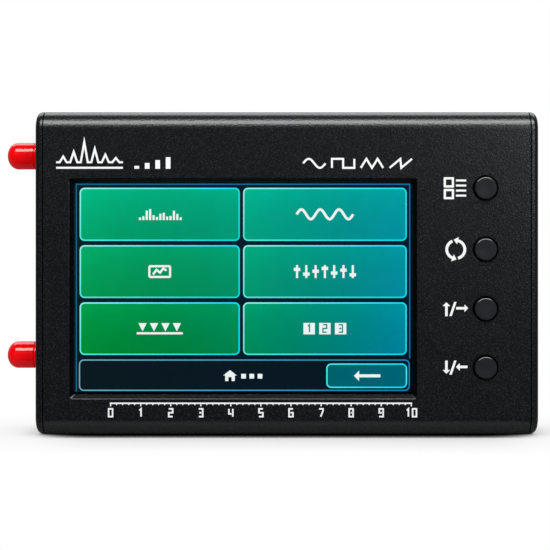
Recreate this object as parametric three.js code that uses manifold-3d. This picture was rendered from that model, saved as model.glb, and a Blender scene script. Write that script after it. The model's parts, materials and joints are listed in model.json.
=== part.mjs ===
// Handheld spectrum analyzer: a split aluminium case between two end plates, with a touch
// screen, four buttons, two capped coaxial jacks, and the boards and battery inside.
// Millimetres, +Z up. It stands on the long underside of its case, the screen looks
// towards -Y, and the origin is the middle of the underside.

import * as THREE from "three";
import { mergeVertices } from "three/addons/utils/BufferGeometryUtils.js";
import { ConvexGeometry } from "three/addons/geometries/ConvexGeometry.js";
import Module from "manifold-3d";

const wasm = await Module();
wasm.setup();

// Driving dimensions of the case
const caseWidth = 140;
const caseHeight = 90.4;
const caseDepth = 27;
const caseCornerRadius = 5.3;
const shellWall = 2;
const splitBehindMiddle = 4;
const tongueLength = 1.6;
const tongueStartShare = 0.575;
const plateThickness = 2.2;
const plateEdgeShare = 0.75;

// Clearances: between pieces that move or are cut to fit, and between pieces pushed together
const runningGap = 0.3;
const pushGap = 0.1;
const cutOverrun = 1;
const weldDistance = 1e-5;

// Fineness of round shapes, and how far round ends go before they would meet
const cornerSteps = 6;
const edgeSteps = 2;
const plateEdgeSteps = 4;
const roundEndShare = 0.98;
const hexagonSides = 6;
const smallSides = 16;
const roundSides = 24;

// Window and the screen behind it
const windowLeftMargin = 10.8;
const windowRightMargin = 35.1;
const windowBottomMargin = 11.4;
const windowTopMargin = 20.2;
const windowChamferShare = 0.6;
const screenBorderShare = 0.72;
const gasketThickness = 0.5;
const touchPanelThickness = 1;
const lcdThickness = 1.4;
const backlightFloor = 2.4;
const backlightWall = 0.5;
const displayBoardThickness = 1.2;
const displayEarLength = 4.4;
const standoffRadius = 2;
const standoffInsetShare = 0.03;
const headerWidth = 2.5;
const headerLengthShare = 0.62;
const headerPlaceShare = 0.12;

// Screws of the end plates
const screwInset = 5;
const screwRadius = 1.45;
const screwLength = 8;
const screwHeadRadius = 2.8;
const screwHeadShare = 0.72;
const screwHeadSink = 0.1;
const screwSocketRadius = 1.15;
const screwSocketShare = 0.65;
const channelWall = 1.25;

// Main board and its guides
const boardThickness = 1.6;
const boardRightGap = 1.3;
const guideThickness = 1.2;
const guideHeight = 2.5;

// Coaxial jacks, along the axis that points out of the left end plate
const jackNames = ["upper", "lower"];
const jackHeightShares = [0.872, 0.24];
const jackThreadRadius = 3.175;
const jackReach = 7.6;
const jackChamfer = 0.4;
const jackBoreRadius = 2.35;
const jackFlangeSize = 7.6;
const jackFlangeThickness = 2;
const jackLegLength = 4.2;
const jackLegSize = 0.9;
const insulatorDepth = 1.9;
const contactRadius = 0.635;
const contactBoreRadius = 0.4;
const contactBoreDepth = 3;
const contactTailLength = 2.6;
const washerRadius = 4.6;
const washerThickness = 0.3;
const nutAcrossFlats = 8;
const nutThickness = 1.2;
const nutChamferShare = 0.25;

// Dust caps
const capWall = 0.525;
const capDomeLength = 3.05;
const capDomeWall = 0.65;
const capLength = 8.6;
const capCreaseDepth = 0.15;
const capLipLength = 0.55;

// Buttons and their switches
const buttonNames = ["menu", "refresh", "up", "down"];
const buttonHeightShares = [0.76, 0.572, 0.3895, 0.2095];
const buttonInset = 14.9;
const buttonRadius = 3;
const buttonHoleGap = 0.6;
const buttonProud = 1;
const buttonEdgeRadius = 0.35;
const buttonFlangeReach = 1;
const buttonFlangeThickness = 0.8;
const buttonCrown = 2;
const buttonSkirt = 1.9;
const buttonTravel = 0.4;
const stemRadius = 1.75;
const switchSize = 6;
const switchHeight = 3.5;
const switchFloor = 1.5;

// Right end: charging socket, power switch and charge light
const usbHeightShare = 0.33;
const usbWidth = 8.94;
const usbThickness = 3.26;
const usbLength = 7.4;
const usbWall = 0.32;
const usbMouthDepth = 0.5;
const usbTongueThickness = 0.7;
const usbTongueWidthShare = 0.72;
const usbTongueLengthShare = 0.62;
const powerHeightShare = 0.66;
const powerBodyLength = 4.6;
const powerBodyWidth = 9;
const powerBodyThickness = 4;
const sliderThickness = 1.6;
const sliderWidth = 2;
const sliderTravel = 2;
const sliderProud = 1;
const sliderDepth = 1.8;
const lightHeightShare = 0.5;
const lightRadius = 1.2;
const lightFlangeReach = 0.4;
const lightFlangeLength = 1;

// Pieces on the back of the main board, and the battery
const shieldWidth = 26;
const shieldHeight = 22;
const shieldThickness = 3.5;
const shieldWall = 0.4;
const shieldInset = 6;
const processorSize = 14;
const processorThickness = 1.2;
const processorInset = 15;
const crystalWidth = 5;
const crystalHeight = 3.2;
const crystalThickness = 1.1;
const crystalGap = 3;
const batteryWidth = 58;
const batteryHeight = 44;
const batteryRise = 22;
const batteryInset = 40;
const batteryAirGap = 0.7;
const batteryEdgeShare = 0.3;
const padThickness = 0.5;
const padShare = 0.8;
const plugWidth = 6;
const plugHeight = 8;
const plugThickness = 3.2;
const plugInset = 12;
const leadWidth = 2.6;
const leadThickness = 1.3;
const leadSteps = 10;

// Places worked out from the sizes above
const frontY = -caseDepth / 2;
const backY = caseDepth / 2;
const leftX = -caseWidth / 2;
const rightX = caseWidth / 2;
const plateInsideX = rightX - plateThickness;
const shellLength = caseWidth - 2 * plateThickness;
const frontInsideY = frontY + shellWall;
const backInsideY = backY - shellWall;
const boardFrontY = -boardThickness / 2;
const boardBackY = boardThickness / 2;
const boardLeftX = -plateInsideX + jackFlangeThickness + runningGap;
const boardRightX = plateInsideX - boardRightGap;
const channelRadius = screwRadius + runningGap + channelWall;

const windowBox = {
  left: leftX + windowLeftMargin,
  right: rightX - windowRightMargin,
  bottom: windowBottomMargin,
  top: caseHeight - windowTopMargin,
};
const screenBorder = screenBorderShare * (windowBottomMargin - screwInset - channelRadius);
const gasketY = frontInsideY + gasketThickness;
const touchY = gasketY + touchPanelThickness;
const lcdY = touchY + lcdThickness;
const backlightY = lcdY + backlightFloor;
const displayBoardY = backlightY + displayBoardThickness;

const buttonX = rightX - buttonInset;
const buttonHoleRadius = buttonRadius + buttonHoleGap;

// Materials
const paint = (color, roughness, metalness) =>
  new THREE.MeshStandardMaterial({ color, roughness, metalness });
const blackAluminium = paint(0x242426, 0.55, 0.4);
const blackSteel = paint(0x1a1a1b, 0.4, 0.7);
const buttonPlastic = paint(0x2d3032, 0.45, 0);
const redVinyl = paint(0xe3050f, 0.3, 0);
const goldPlate = paint(0xd2a646, 0.3, 1);
const nickelPlate = paint(0xb9b8b2, 0.3, 1);
const whitePlastic = paint(0xeeeeea, 0.5, 0);
const blackPlastic = paint(0x141415, 0.5, 0);
const foam = paint(0x101010, 0.9, 0);
const panelGlass = paint(0x0a1216, 0.08, 0);
const screenGlass = paint(0x0c8a70, 0.3, 0);
const tinPlate = paint(0xa9adb0, 0.35, 0.9);
const boardLaminate = paint(0x16452b, 0.5, 0);
const chipPlastic = paint(0x1c1c1e, 0.6, 0);
const batteryFoil = paint(0xb4b7b9, 0.4, 0.6);
const wireSheath = paint(0x9a1410, 0.5, 0);
const lightPlastic = paint(0x7fd08a, 0.2, 0);

// Axes for shapes that are drawn flat and given depth, or turned on a lathe
const axisX = new THREE.Vector3(1, 0, 0);
const axisY = new THREE.Vector3(0, 1, 0);
const axisZ = new THREE.Vector3(0, 0, 1);
const turn = (first, second, third) => new THREE.Matrix4().makeBasis(first, second, third);
const drawnAcrossRightward = turn(axisY, axisZ, axisX);
const drawnAcrossLeftward = turn(axisY.clone().negate(), axisZ, axisX.clone().negate());
const lathePointsLeft = turn(axisY, axisX.clone().negate(), axisZ);
const lathePointsRight = turn(axisY.clone().negate(), axisX, axisZ);
const lathePointsFront = turn(axisX, axisY.clone().negate(), axisZ.clone().negate());

function placed(geometry, axes, x, y, z) {
  return geometry.applyMatrix4(axes.clone().setPosition(x, y, z));
}

// Signed volume of a closed mesh, negative where its faces point inwards
function signedVolume(geometry) {
  const points = geometry.attributes.position;
  const corners = geometry.index.array;
  const [a, b, c] = [new THREE.Vector3(), new THREE.Vector3(), new THREE.Vector3()];
  let volume = 0;
  for (let i = 0; i < corners.length; i += 3) {
    a.fromBufferAttribute(points, corners[i]);
    b.fromBufferAttribute(points, corners[i + 1]);
    c.fromBufferAttribute(points, corners[i + 2]);
    volume += a.dot(b.cross(c)) / 6;
  }
  return volume;
}

// A closed geometry as a solid that can be joined and cut
function solidOf(geometry) {
  const bare = geometry.clone();
  bare.deleteAttribute("normal");
  bare.deleteAttribute("uv");
  const merged = mergeVertices(bare, weldDistance);
  const corners = Uint32Array.from(merged.index.array);
  if (signedVolume(merged) < 0) {
    corners.reverse();
  }
  const mesh = new wasm.Mesh({
    numProp: 3,
    vertProperties: Float32Array.from(merged.attributes.position.array),
    triVerts: corners,
  });
  mesh.merge();
  return new wasm.Manifold(mesh);
}

function geometryOf(solid) {
  const { vertProperties, triVerts } = solid.getMesh();
  const geometry = new THREE.BufferGeometry();
  geometry.setAttribute("position", new THREE.BufferAttribute(vertProperties, 3));
  geometry.setIndex(new THREE.BufferAttribute(triVerts, 1));
  return geometry;
}

// One geometry from a base, what is joined to it, and what is then cut from it
function shaped(base, joined = [], cuts = []) {
  let solid = solidOf(base);
  for (const piece of joined) {
    solid = solid.add(solidOf(piece));
  }
  for (const piece of cuts) {
    solid = solid.subtract(solidOf(piece));
  }
  return geometryOf(solid);
}

// A box between two corners
function boxBetween([x0, y0, z0], [x1, y1, z1]) {
  const box = new THREE.BoxGeometry(x1 - x0, y1 - y0, z1 - z0);
  return box.translate((x0 + x1) / 2, (y0 + y1) / 2, (z0 + z1) / 2);
}

// A solid of revolution: each pair is a radius and a place along the axis
function turned(pairs, sides, axes, x, y, z) {
  const profile = pairs.map(([radius, place]) => new THREE.Vector2(radius, place));
  return placed(new THREE.LatheGeometry(profile, sides), axes, x, y, z);
}

// A round rod or bore between two places on its axis
function rod(radius, from, to, sides, axes, x, y, z) {
  return turned([[0, from], [radius, from], [radius, to], [0, to]], sides, axes, x, y, z);
}

// A ring between two radii and two places on its axis
function ring(inner, outer, from, to, sides, axes, x, y, z) {
  const section = [[inner, from], [outer, from], [outer, to], [inner, to], [inner, from]];
  return turned(section, sides, axes, x, y, z);
}

function roundedRectangle(left, bottom, right, top, radius) {
  const shape = new THREE.Shape();
  shape.moveTo(left + radius, bottom);
  shape.lineTo(right - radius, bottom);
  shape.absarc(right - radius, bottom + radius, radius, -Math.PI / 2, 0, false);
  shape.lineTo(right, top - radius);
  shape.absarc(right - radius, top - radius, radius, 0, Math.PI / 2, false);
  shape.lineTo(left + radius, top);
  shape.absarc(left + radius, top - radius, radius, Math.PI / 2, Math.PI, false);
  shape.lineTo(left, bottom + radius);
  shape.absarc(left + radius, bottom + radius, radius, Math.PI, Math.PI * 1.5, false);
  return shape;
}

// Half of the case's section, drawn inwards from its own big face: a wall round three sides,
// with a stepped edge where the two halves lap
function halfSection(outerReach, innerReach, step) {
  const outer = caseCornerRadius;
  const inner = Math.max(caseCornerRadius - shellWall, pushGap);
  const bend = shellWall + inner;
  const roof = caseHeight - shellWall;
  const section = new THREE.Shape();
  section.moveTo(outerReach, 0);
  section.lineTo(outer, 0);
  section.absarc(outer, outer, outer, -Math.PI / 2, -Math.PI, true);
  section.lineTo(0, caseHeight - outer);
  section.absarc(outer, caseHeight - outer, outer, Math.PI, Math.PI / 2, true);
  section.lineTo(outerReach, caseHeight);
  section.lineTo(outerReach, caseHeight - step);
  section.lineTo(innerReach, caseHeight - step);
  section.lineTo(innerReach, roof);
  section.lineTo(bend, roof);
  section.absarc(bend, roof - inner, inner, Math.PI / 2, Math.PI, false);
  section.lineTo(shellWall, bend);
  section.absarc(bend, bend, inner, Math.PI, Math.PI * 1.5, false);
  section.lineTo(innerReach, shellWall);
  section.lineTo(innerReach, step);
  section.lineTo(outerReach, step);
  return section;
}

function extruded(shape, depth) {
  return new THREE.ExtrudeGeometry(shape, {
    depth,
    bevelEnabled: false,
    curveSegments: cornerSteps,
  });
}

// The two screw channels of a half, at one distance from its big face
function channels(y, radius, overrun) {
  const reach = shellLength / 2 + overrun;
  return [screwInset, caseHeight - screwInset].map((z) =>
    rod(radius, -reach, reach, smallSides, lathePointsRight, 0, y, z));
}

function frontShell() {
  const lip = tongueStartShare * shellWall;
  const reach = splitBehindMiddle - frontY;
  const section = halfSection(reach, reach + tongueLength, lip);
  const wall = placed(
    extruded(section, shellLength), drawnAcrossRightward, -shellLength / 2, frontY, 0);

  const guides = [];
  const guideOffset = boardThickness / 2 + runningGap;
  const sunk = shellWall / 2;
  for (const side of [-1, 1]) {
    const near = side * guideOffset;
    const far = side * (guideOffset + guideThickness);
    const ends = [Math.min(near, far), Math.max(near, far)];
    for (const [low, high] of [
      [sunk, shellWall + guideHeight],
      [caseHeight - shellWall - guideHeight, caseHeight - sunk],
    ]) {
      guides.push(boxBetween(
        [-shellLength / 2, ends[0], low], [shellLength / 2, ends[1], high]));
    }
  }

  const channelY = frontY + screwInset;
  return shaped(
    wall,
    [...channels(channelY, channelRadius, 0), ...guides],
    [
      ...channels(channelY, screwRadius + runningGap, cutOverrun),
      ...windowCuts(),
      ...buttonHoles(),
    ]);
}

// The window through the front wall and the bevel round it
function windowCuts() {
  const { left, right, bottom, top } = windowBox;
  const chamfer = windowChamferShare * shellWall;
  const opening = boxBetween(
    [left, frontY - cutOverrun, bottom], [right, frontInsideY + cutOverrun, top]);
  const corners = [];
  for (const [y, spread] of [
    [frontY - cutOverrun, chamfer + cutOverrun],
    [frontY + chamfer, 0],
  ]) {
    for (const x of [left - spread, right + spread]) {
      for (const z of [bottom - spread, top + spread]) {
        corners.push(new THREE.Vector3(x, y, z));
      }
    }
  }
  return [opening, new ConvexGeometry(corners)];
}

function buttonHoles() {
  return buttonHeightShares.map((share) =>
    rod(buttonHoleRadius, -frontInsideY - cutOverrun, -frontY + cutOverrun, roundSides,
      lathePointsFront, buttonX, 0, share * caseHeight));
}

function rearShell() {
  const lip = tongueStartShare * shellWall - runningGap;
  const reach = backY - splitBehindMiddle;
  const section = halfSection(reach, reach - tongueLength - runningGap, lip);
  const wall = placed(
    extruded(section, shellLength), drawnAcrossLeftward, shellLength / 2, backY, 0);
  const channelY = backY - screwInset;
  return shaped(
    wall,
    channels(channelY, channelRadius, 0),
    channels(channelY, screwRadius + runningGap, cutOverrun));
}

// The four screw places of an end plate, front low, front high, back low, back high
const screwPlaces = [];
for (const y of [frontY + screwInset, backY - screwInset]) {
  for (const z of [screwInset, caseHeight - screwInset]) {
    screwPlaces.push([y, z]);
  }
}

// A blank end plate with its outer edge rounded, and its countersunk screw holes
function endPlate(side, cuts) {
  const axes = side < 0 ? lathePointsLeft : lathePointsRight;
  const edge = plateEdgeShare * plateThickness;
  const outline = roundedRectangle(
    frontY + edge, edge, backY - edge, caseHeight - edge, caseCornerRadius - edge);
  const pillow = new THREE.ExtrudeGeometry(outline, {
    depth: 2 * (plateThickness - edge),
    bevelThickness: edge,
    bevelSize: edge,
    bevelSegments: plateEdgeSteps,
    curveSegments: cornerSteps,
  });
  const thick = placed(pillow, drawnAcrossRightward, -(plateThickness - edge), 0, 0);
  const inner = boxBetween(
    [-plateThickness - cutOverrun, frontY - cutOverrun, -cutOverrun],
    [0, backY + cutOverrun, caseHeight + cutOverrun]);
  const plate = shaped(thick, [], [inner]);
  if (side < 0) plate.applyMatrix4(new THREE.Matrix4().makeRotationZ(Math.PI));
  plate.translate(side * plateInsideX, 0, 0);

  const headHeight = screwHeadShare * plateThickness;
  const shaft = screwRadius + runningGap;
  const head = screwHeadRadius + runningGap;
  const holes = screwPlaces.map(([y, z]) => turned([
    [0, -cutOverrun],
    [shaft, -cutOverrun],
    [shaft, plateThickness - headHeight - screwHeadSink],
    [head, plateThickness - screwHeadSink],
    [head, plateThickness + cutOverrun],
    [0, plateThickness + cutOverrun],
  ], smallSides, axes, side * plateInsideX, y, z));
  return shaped(plate, [], [...holes, ...cuts]);
}

// A countersunk screw with a hexagonal socket, its head just below the plate's face
function plateScrew(side, y, z) {
  const axes = side < 0 ? lathePointsLeft : lathePointsRight;
  const x = side * (rightX - screwHeadSink);
  const headHeight = screwHeadShare * plateThickness;
  const tip = screwRadius / 2;
  const body = turned([
    [0, -screwLength],
    [screwRadius - tip, -screwLength],
    [screwRadius, -screwLength + tip],
    [screwRadius, -headHeight],
    [screwHeadRadius, 0],
    [0, 0],
  ], smallSides, axes, x, y, z);
  const socket = rod(
    screwSocketRadius, -screwSocketShare * headHeight, cutOverrun, hexagonSides, axes, x, y, z);
  return shaped(body, [], [socket]);
}

// Places along a jack's axis, counted outwards from the inner face of the left end plate
const jackMouth = plateThickness + jackReach;
const washerEnd = plateThickness + washerThickness;
const nutEnd = washerEnd + nutThickness;
const onJack = (make) => (share) => make(-plateInsideX, 0, share * caseHeight);

const leftEndPlate = () => endPlate(-1, jackHeightShares.map((share) =>
  rod(jackThreadRadius + runningGap, -cutOverrun, plateThickness + cutOverrun, roundSides,
    lathePointsLeft, -plateInsideX, 0, share * caseHeight)));

// Threaded barrel through the plate, with a square flange behind it and four legs that
// straddle the edge of the main board
const jackBody = onJack((x, y, z) => {
  const half = jackFlangeSize / 2;
  const barrel = turned([
    [0, -jackFlangeThickness / 2],
    [jackThreadRadius, -jackFlangeThickness / 2],
    [jackThreadRadius, jackMouth - jackChamfer],
    [jackThreadRadius - jackChamfer, jackMouth],
    [0, jackMouth],
  ], roundSides, lathePointsLeft, x, y, z);
  const flange = boxBetween([x, -half, z - half], [x + jackFlangeThickness, half, z + half]);
  const legs = [];
  const legFoot = boardThickness / 2 + runningGap;
  for (const side of [-1, 1]) {
    for (const end of [-1, 1]) {
      const legY = side * (legFoot + jackLegSize / 2);
      const legZ = z + end * (half - jackLegSize / 2);
      legs.push(boxBetween(
        [x + jackFlangeThickness / 2, legY - jackLegSize / 2, legZ - jackLegSize / 2],
        [x + jackFlangeThickness + jackLegLength, legY + jackLegSize / 2, legZ + jackLegSize / 2]));
    }
  }
  const bore = rod(jackBoreRadius, -jackFlangeThickness - cutOverrun, jackMouth + cutOverrun,
    roundSides, lathePointsLeft, x, y, z);
  return shaped(flange, [barrel, ...legs], [bore]);
});

const jackInsulator = onJack((x, y, z) => ring(
  contactRadius + runningGap, jackBoreRadius - runningGap, -jackFlangeThickness,
  jackMouth - insulatorDepth, smallSides, lathePointsLeft, x, y, z));

// Centre contact: a socket at the mouth and a thin tail to the board
const jackContact = onJack((x, y, z) => {
  const end = jackMouth - insulatorDepth;
  return turned([
    [0, -jackFlangeThickness - contactTailLength],
    [contactBoreRadius, -jackFlangeThickness - contactTailLength],
    [contactBoreRadius, -jackFlangeThickness],
    [contactRadius, -jackFlangeThickness],
    [contactRadius, end],
    [contactBoreRadius, end],
    [contactBoreRadius, end - contactBoreDepth],
    [0, end - contactBoreDepth],
  ], smallSides, lathePointsLeft, x, y, z);
});

const jackWasher = onJack((x, y, z) => ring(
  jackThreadRadius + runningGap, washerRadius, plateThickness, washerEnd, roundSides,
  lathePointsLeft, x, y, z));

// Hexagonal nut with its outer corners turned down
const jackNut = onJack((x, y, z) => {
  const corner = nutAcrossFlats / 2 / Math.cos(Math.PI / hexagonSides);
  const chamfer = nutChamferShare * nutThickness;
  const hexagon = rod(corner, washerEnd, nutEnd, hexagonSides, lathePointsLeft, x, y, z);
  const bore = rod(jackThreadRadius + runningGap, washerEnd - cutOverrun, nutEnd + cutOverrun,
    roundSides, lathePointsLeft, x, y, z);
  const flat = nutAcrossFlats / 2;
  const cone = turned([
    [flat, nutEnd],
    [corner, nutEnd - chamfer],
    [corner + cutOverrun, nutEnd - chamfer],
    [corner + cutOverrun, nutEnd + cutOverrun],
    [flat, nutEnd + cutOverrun],
    [flat, nutEnd],
  ], roundSides, lathePointsLeft, x, y, z);
  return shaped(hexagon, [], [bore, cone]);
});

// Soft cap: a round-ended cup with a shallow crease just above its mouth
const dustCap = onJack((x, y, z) => {
  const bore = jackThreadRadius + pushGap;
  const outer = bore + capWall;
  const mouth = nutEnd + pushGap;
  const tip = mouth + capLength;
  const domeStart = tip - capDomeLength;
  const arc = (radius, length, count) => {
    const points = [];
    for (let step = 0; step <= count; step += 1) {
      const angle = (step / count) * Math.PI / 2;
      points.push([radius * Math.cos(angle), domeStart + length * Math.sin(angle)]);
    }
    points[count][0] = 0;
    return points;
  };
  const inside = arc(bore, capDomeLength - capDomeWall, cornerSteps - 2).reverse();
  return turned([
    ...inside,
    [bore, mouth],
    [outer, mouth],
    [outer, mouth + capLipLength - capCreaseDepth],
    [outer - capCreaseDepth, mouth + capLipLength],
    [outer, mouth + capLipLength + capCreaseDepth],
    ...arc(outer, capDomeLength, cornerSteps),
  ], roundSides, lathePointsLeft, x, y, z);
});

// The screen's layers, each a rectangle that follows the window's outline
function layer(spread, fromY, toY) {
  const { left, right, bottom, top } = windowBox;
  return boxBetween([left - spread, fromY, bottom - spread], [right + spread, toY, top + spread]);
}

function windowGasket() {
  const hole = layer(runningGap, frontInsideY - cutOverrun, gasketY + cutOverrun);
  return shaped(layer(screenBorder, frontInsideY, gasketY), [], [hole]);
}

const touchPanel = () => layer(screenBorder, gasketY, touchY);
const lcdBorder = screenBorder - backlightWall - runningGap;
const lcdPanel = () => layer(lcdBorder, touchY, lcdY);

// Shallow metal tray round the panel and the backlight
function backlightTray() {
  const tray = layer(screenBorder, touchY + runningGap, backlightY);
  const pocket = layer(screenBorder - backlightWall, touchY - cutOverrun, lcdY);
  return shaped(tray, [], [pocket]);
}

const displayBoardLeft = windowBox.left - screenBorder - displayEarLength;
const displayBoardRight = windowBox.right + screenBorder + displayEarLength;
const earMiddle = displayEarLength / 2;
const displayBoard = () => boxBetween(
  [displayBoardLeft, backlightY, windowBox.bottom - screenBorder],
  [displayBoardRight, displayBoardY, windowBox.top + screenBorder]);

// Spacers between the display board's ears and the main board, and the row of pins
const windowHeight = windowBox.top - windowBox.bottom;
const windowWidth = windowBox.right - windowBox.left;
const standoffInset = standoffInsetShare * windowHeight;
const standoffPlaces = [];
for (const x of [displayBoardLeft + earMiddle, displayBoardRight - earMiddle]) {
  for (const z of [windowBox.bottom + standoffInset, windowBox.top - standoffInset]) {
    standoffPlaces.push([x, z]);
  }
}
const standoff = ([x, z]) =>
  rod(standoffRadius, -boardFrontY, -displayBoardY, smallSides, lathePointsFront, x, 0, z);

function displayHeader() {
  const middleX = windowBox.left + headerPlaceShare * windowWidth;
  const middleZ = (windowBox.bottom + windowBox.top) / 2;
  const reach = headerLengthShare * windowHeight / 2;
  return boxBetween(
    [middleX - headerWidth / 2, displayBoardY, middleZ - reach],
    [middleX + headerWidth / 2, boardFrontY, middleZ + reach]);
}

// Board in the case's guides, with a notch for each jack's tail
function mainBoard() {
  const edge = shellWall + runningGap;
  const board = boxBetween(
    [boardLeftX, boardFrontY, edge], [boardRightX, boardBackY, caseHeight - edge]);
  const notchHalf = contactRadius + runningGap;
  const notches = jackHeightShares.map((share) => boxBetween(
    [boardLeftX - cutOverrun, boardFrontY - cutOverrun, share * caseHeight - notchHalf],
    [boardLeftX + contactTailLength, boardBackY + cutOverrun, share * caseHeight + notchHalf]));
  return shaped(board, [], notches);
}

// Places on a button's axis, counted towards the front from the middle of the case
const switchTop = -boardFrontY + switchHeight;
const switchBoreFloor = -boardFrontY + switchFloor;
const stemFoot = switchBoreFloor + buttonTravel + runningGap;
const buttonTop = -frontY + buttonProud;
const buttonBoreEnd = buttonTop - buttonCrown;
const flangeTop = -frontInsideY - runningGap;
const flangeFoot = flangeTop - buttonFlangeThickness;

function buttonCap(z) {
  const bore = stemRadius + pushGap;
  const foot = flangeFoot - buttonSkirt;
  const edge = [];
  for (let step = 0; step <= edgeSteps; step += 1) {
    const angle = (step / edgeSteps) * Math.PI / 2;
    edge.push([
      buttonRadius - buttonEdgeRadius * (1 - Math.cos(angle)),
      buttonTop - buttonEdgeRadius * (1 - Math.sin(angle)),
    ]);
  }
  return turned([
    [0, buttonBoreEnd],
    [bore, buttonBoreEnd],
    [bore, foot],
    [buttonRadius, foot],
    [buttonRadius, flangeFoot],
    [buttonHoleRadius + buttonFlangeReach, flangeFoot],
    [buttonHoleRadius + buttonFlangeReach, flangeTop],
    [buttonRadius, flangeTop],
    ...edge,
    [0, buttonTop],
  ], roundSides, lathePointsFront, buttonX, 0, z);
}

const buttonStem = (z) =>
  rod(stemRadius, stemFoot, buttonBoreEnd - pushGap, smallSides, lathePointsFront, buttonX, 0, z);

function buttonSwitch(z) {
  const half = switchSize / 2;
  const body = boxBetween([buttonX - half, -switchTop, z - half],
    [buttonX + half, boardFrontY, z + half]);
  const bore = rod(stemRadius + runningGap, switchBoreFloor, switchTop + cutOverrun, smallSides,
    lathePointsFront, buttonX, 0, z);
  return shaped(body, [], [bore]);
}

// Charging socket on the back of the board, its mouth in the right end plate
const usbZ = usbHeightShare * caseHeight;
const usbY = boardBackY + usbThickness / 2;
const usbMouthX = rightX - usbMouthDepth;

function stadium(halfWidth, halfThickness) {
  return roundedRectangle(
    -halfThickness, -halfWidth, halfThickness, halfWidth, roundEndShare * halfThickness);
}

function usbSocket() {
  const rearX = usbMouthX - usbLength;
  const shell = placed(extruded(stadium(usbWidth / 2, usbThickness / 2), usbLength),
    drawnAcrossRightward, rearX, usbY, usbZ);
  const hollow = placed(
    extruded(stadium(usbWidth / 2 - usbWall, usbThickness / 2 - usbWall), usbLength),
    drawnAcrossRightward, rearX + usbWall, usbY, usbZ);
  const halfTongue = usbTongueWidthShare * usbWidth / 2;
  const tongue = boxBetween(
    [rearX + usbWall / 2, usbY - usbTongueThickness / 2, usbZ - halfTongue],
    [rearX + usbTongueLengthShare * usbLength, usbY + usbTongueThickness / 2, usbZ + halfTongue]);
  return geometryOf(solidOf(shell).subtract(solidOf(hollow)).add(solidOf(tongue)));
}

// Power switch: a body on the back of the board and a slider through the right end plate
const powerZ = powerHeightShare * caseHeight;
const powerY = boardBackY + powerBodyThickness / 2;
const powerBodyX = plateInsideX - runningGap;
const sliderRestZ = powerZ - sliderTravel / 2;

function sliderSlot(fromX, toX, gap) {
  const halfY = sliderThickness / 2 + gap;
  const halfZ = (sliderWidth + sliderTravel) / 2 + gap;
  return boxBetween([fromX, powerY - halfY, powerZ - halfZ], [toX, powerY + halfY, powerZ + halfZ]);
}

function powerSwitch() {
  const body = boxBetween(
    [powerBodyX - powerBodyLength, boardBackY, powerZ - powerBodyWidth / 2],
    [powerBodyX, boardBackY + powerBodyThickness, powerZ + powerBodyWidth / 2]);
  const pocket = sliderSlot(
    powerBodyX - sliderDepth - runningGap, powerBodyX + cutOverrun, runningGap);
  return shaped(body, [], [pocket]);
}

const powerSlider = () => boxBetween(
  [powerBodyX - sliderDepth, powerY - sliderThickness / 2, sliderRestZ - sliderWidth / 2],
  [rightX + sliderProud, powerY + sliderThickness / 2, sliderRestZ + sliderWidth / 2]);

// Charge light: a round lens from the board's edge to the plate's face
const lightZ = lightHeightShare * caseHeight;
const lightY = boardBackY + lightRadius + lightFlangeReach;

const chargeLight = () => turned([
  [0, boardRightX - rightX],
  [lightRadius + lightFlangeReach, boardRightX - rightX],
  [lightRadius + lightFlangeReach, boardRightX - rightX + lightFlangeLength],
  [lightRadius, boardRightX - rightX + lightFlangeLength],
  [lightRadius, 0],
  [0, 0],
], smallSides, lathePointsRight, rightX, lightY, lightZ);

function rightEndPlate() {
  const from = plateInsideX - cutOverrun;
  const to = rightX + cutOverrun;
  const socketHole = placed(
    extruded(stadium(usbWidth / 2 + runningGap, usbThickness / 2 + runningGap), to - from),
    drawnAcrossRightward, from, usbY, usbZ);
  const lightHole = rod(lightRadius + runningGap, -plateThickness - cutOverrun, cutOverrun,
    smallSides, lathePointsRight, rightX, lightY, lightZ);
  return endPlate(1, [socketHole, lightHole, sliderSlot(from, to, runningGap)]);
}

// Screening can over the parts behind a jack, open towards the board
function shieldCan(share) {
  const left = boardLeftX + shieldInset;
  const middle = share * caseHeight;
  const low = Math.min(
    middle - shieldHeight / 2, caseHeight - shellWall - guideHeight - runningGap - shieldHeight);
  const can = boxBetween([left, boardBackY, low],
    [left + shieldWidth, boardBackY + shieldThickness, low + shieldHeight]);
  const hollow = boxBetween(
    [left + shieldWall, boardBackY - cutOverrun, low + shieldWall],
    [left + shieldWidth - shieldWall, boardBackY + shieldThickness - shieldWall,
      low + shieldHeight - shieldWall]);
  return shaped(can, [], [hollow]);
}

// Battery, stuck to the rear wall over the board's low parts, and what is under and beside it
const batteryRight = rightX - batteryInset;
const batteryLeft = batteryRight - batteryWidth;
const batteryBackY = backInsideY - padThickness;
const batteryFrontY = boardBackY + shieldThickness + batteryAirGap;
const batteryMiddleZ = batteryRise + batteryHeight / 2;

function battery() {
  const half = (batteryBackY - batteryFrontY) / 2;
  const radius = batteryEdgeShare * 2 * half;
  const section = roundedRectangle(
    batteryFrontY, batteryRise, batteryBackY, batteryRise + batteryHeight, radius);
  return placed(extruded(section, batteryWidth), drawnAcrossRightward, batteryLeft, 0, 0);
}

function batteryPad() {
  const marginX = (1 - padShare) * batteryWidth / 2;
  const marginZ = (1 - padShare) * batteryHeight / 2;
  return boxBetween([batteryLeft + marginX, batteryBackY, batteryRise + marginZ],
    [batteryRight - marginX, backInsideY, batteryRise + batteryHeight - marginZ]);
}

function processor() {
  const left = batteryLeft + processorInset;
  const half = processorSize / 2;
  return boxBetween([left, boardBackY, batteryMiddleZ - half],
    [left + processorSize, boardBackY + processorThickness, batteryMiddleZ + half]);
}

function crystal() {
  const left = batteryLeft + processorInset + processorSize + crystalGap;
  return boxBetween([left, boardBackY, batteryMiddleZ - crystalHeight / 2],
    [left + crystalWidth, boardBackY + crystalThickness, batteryMiddleZ + crystalHeight / 2]);
}

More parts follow.
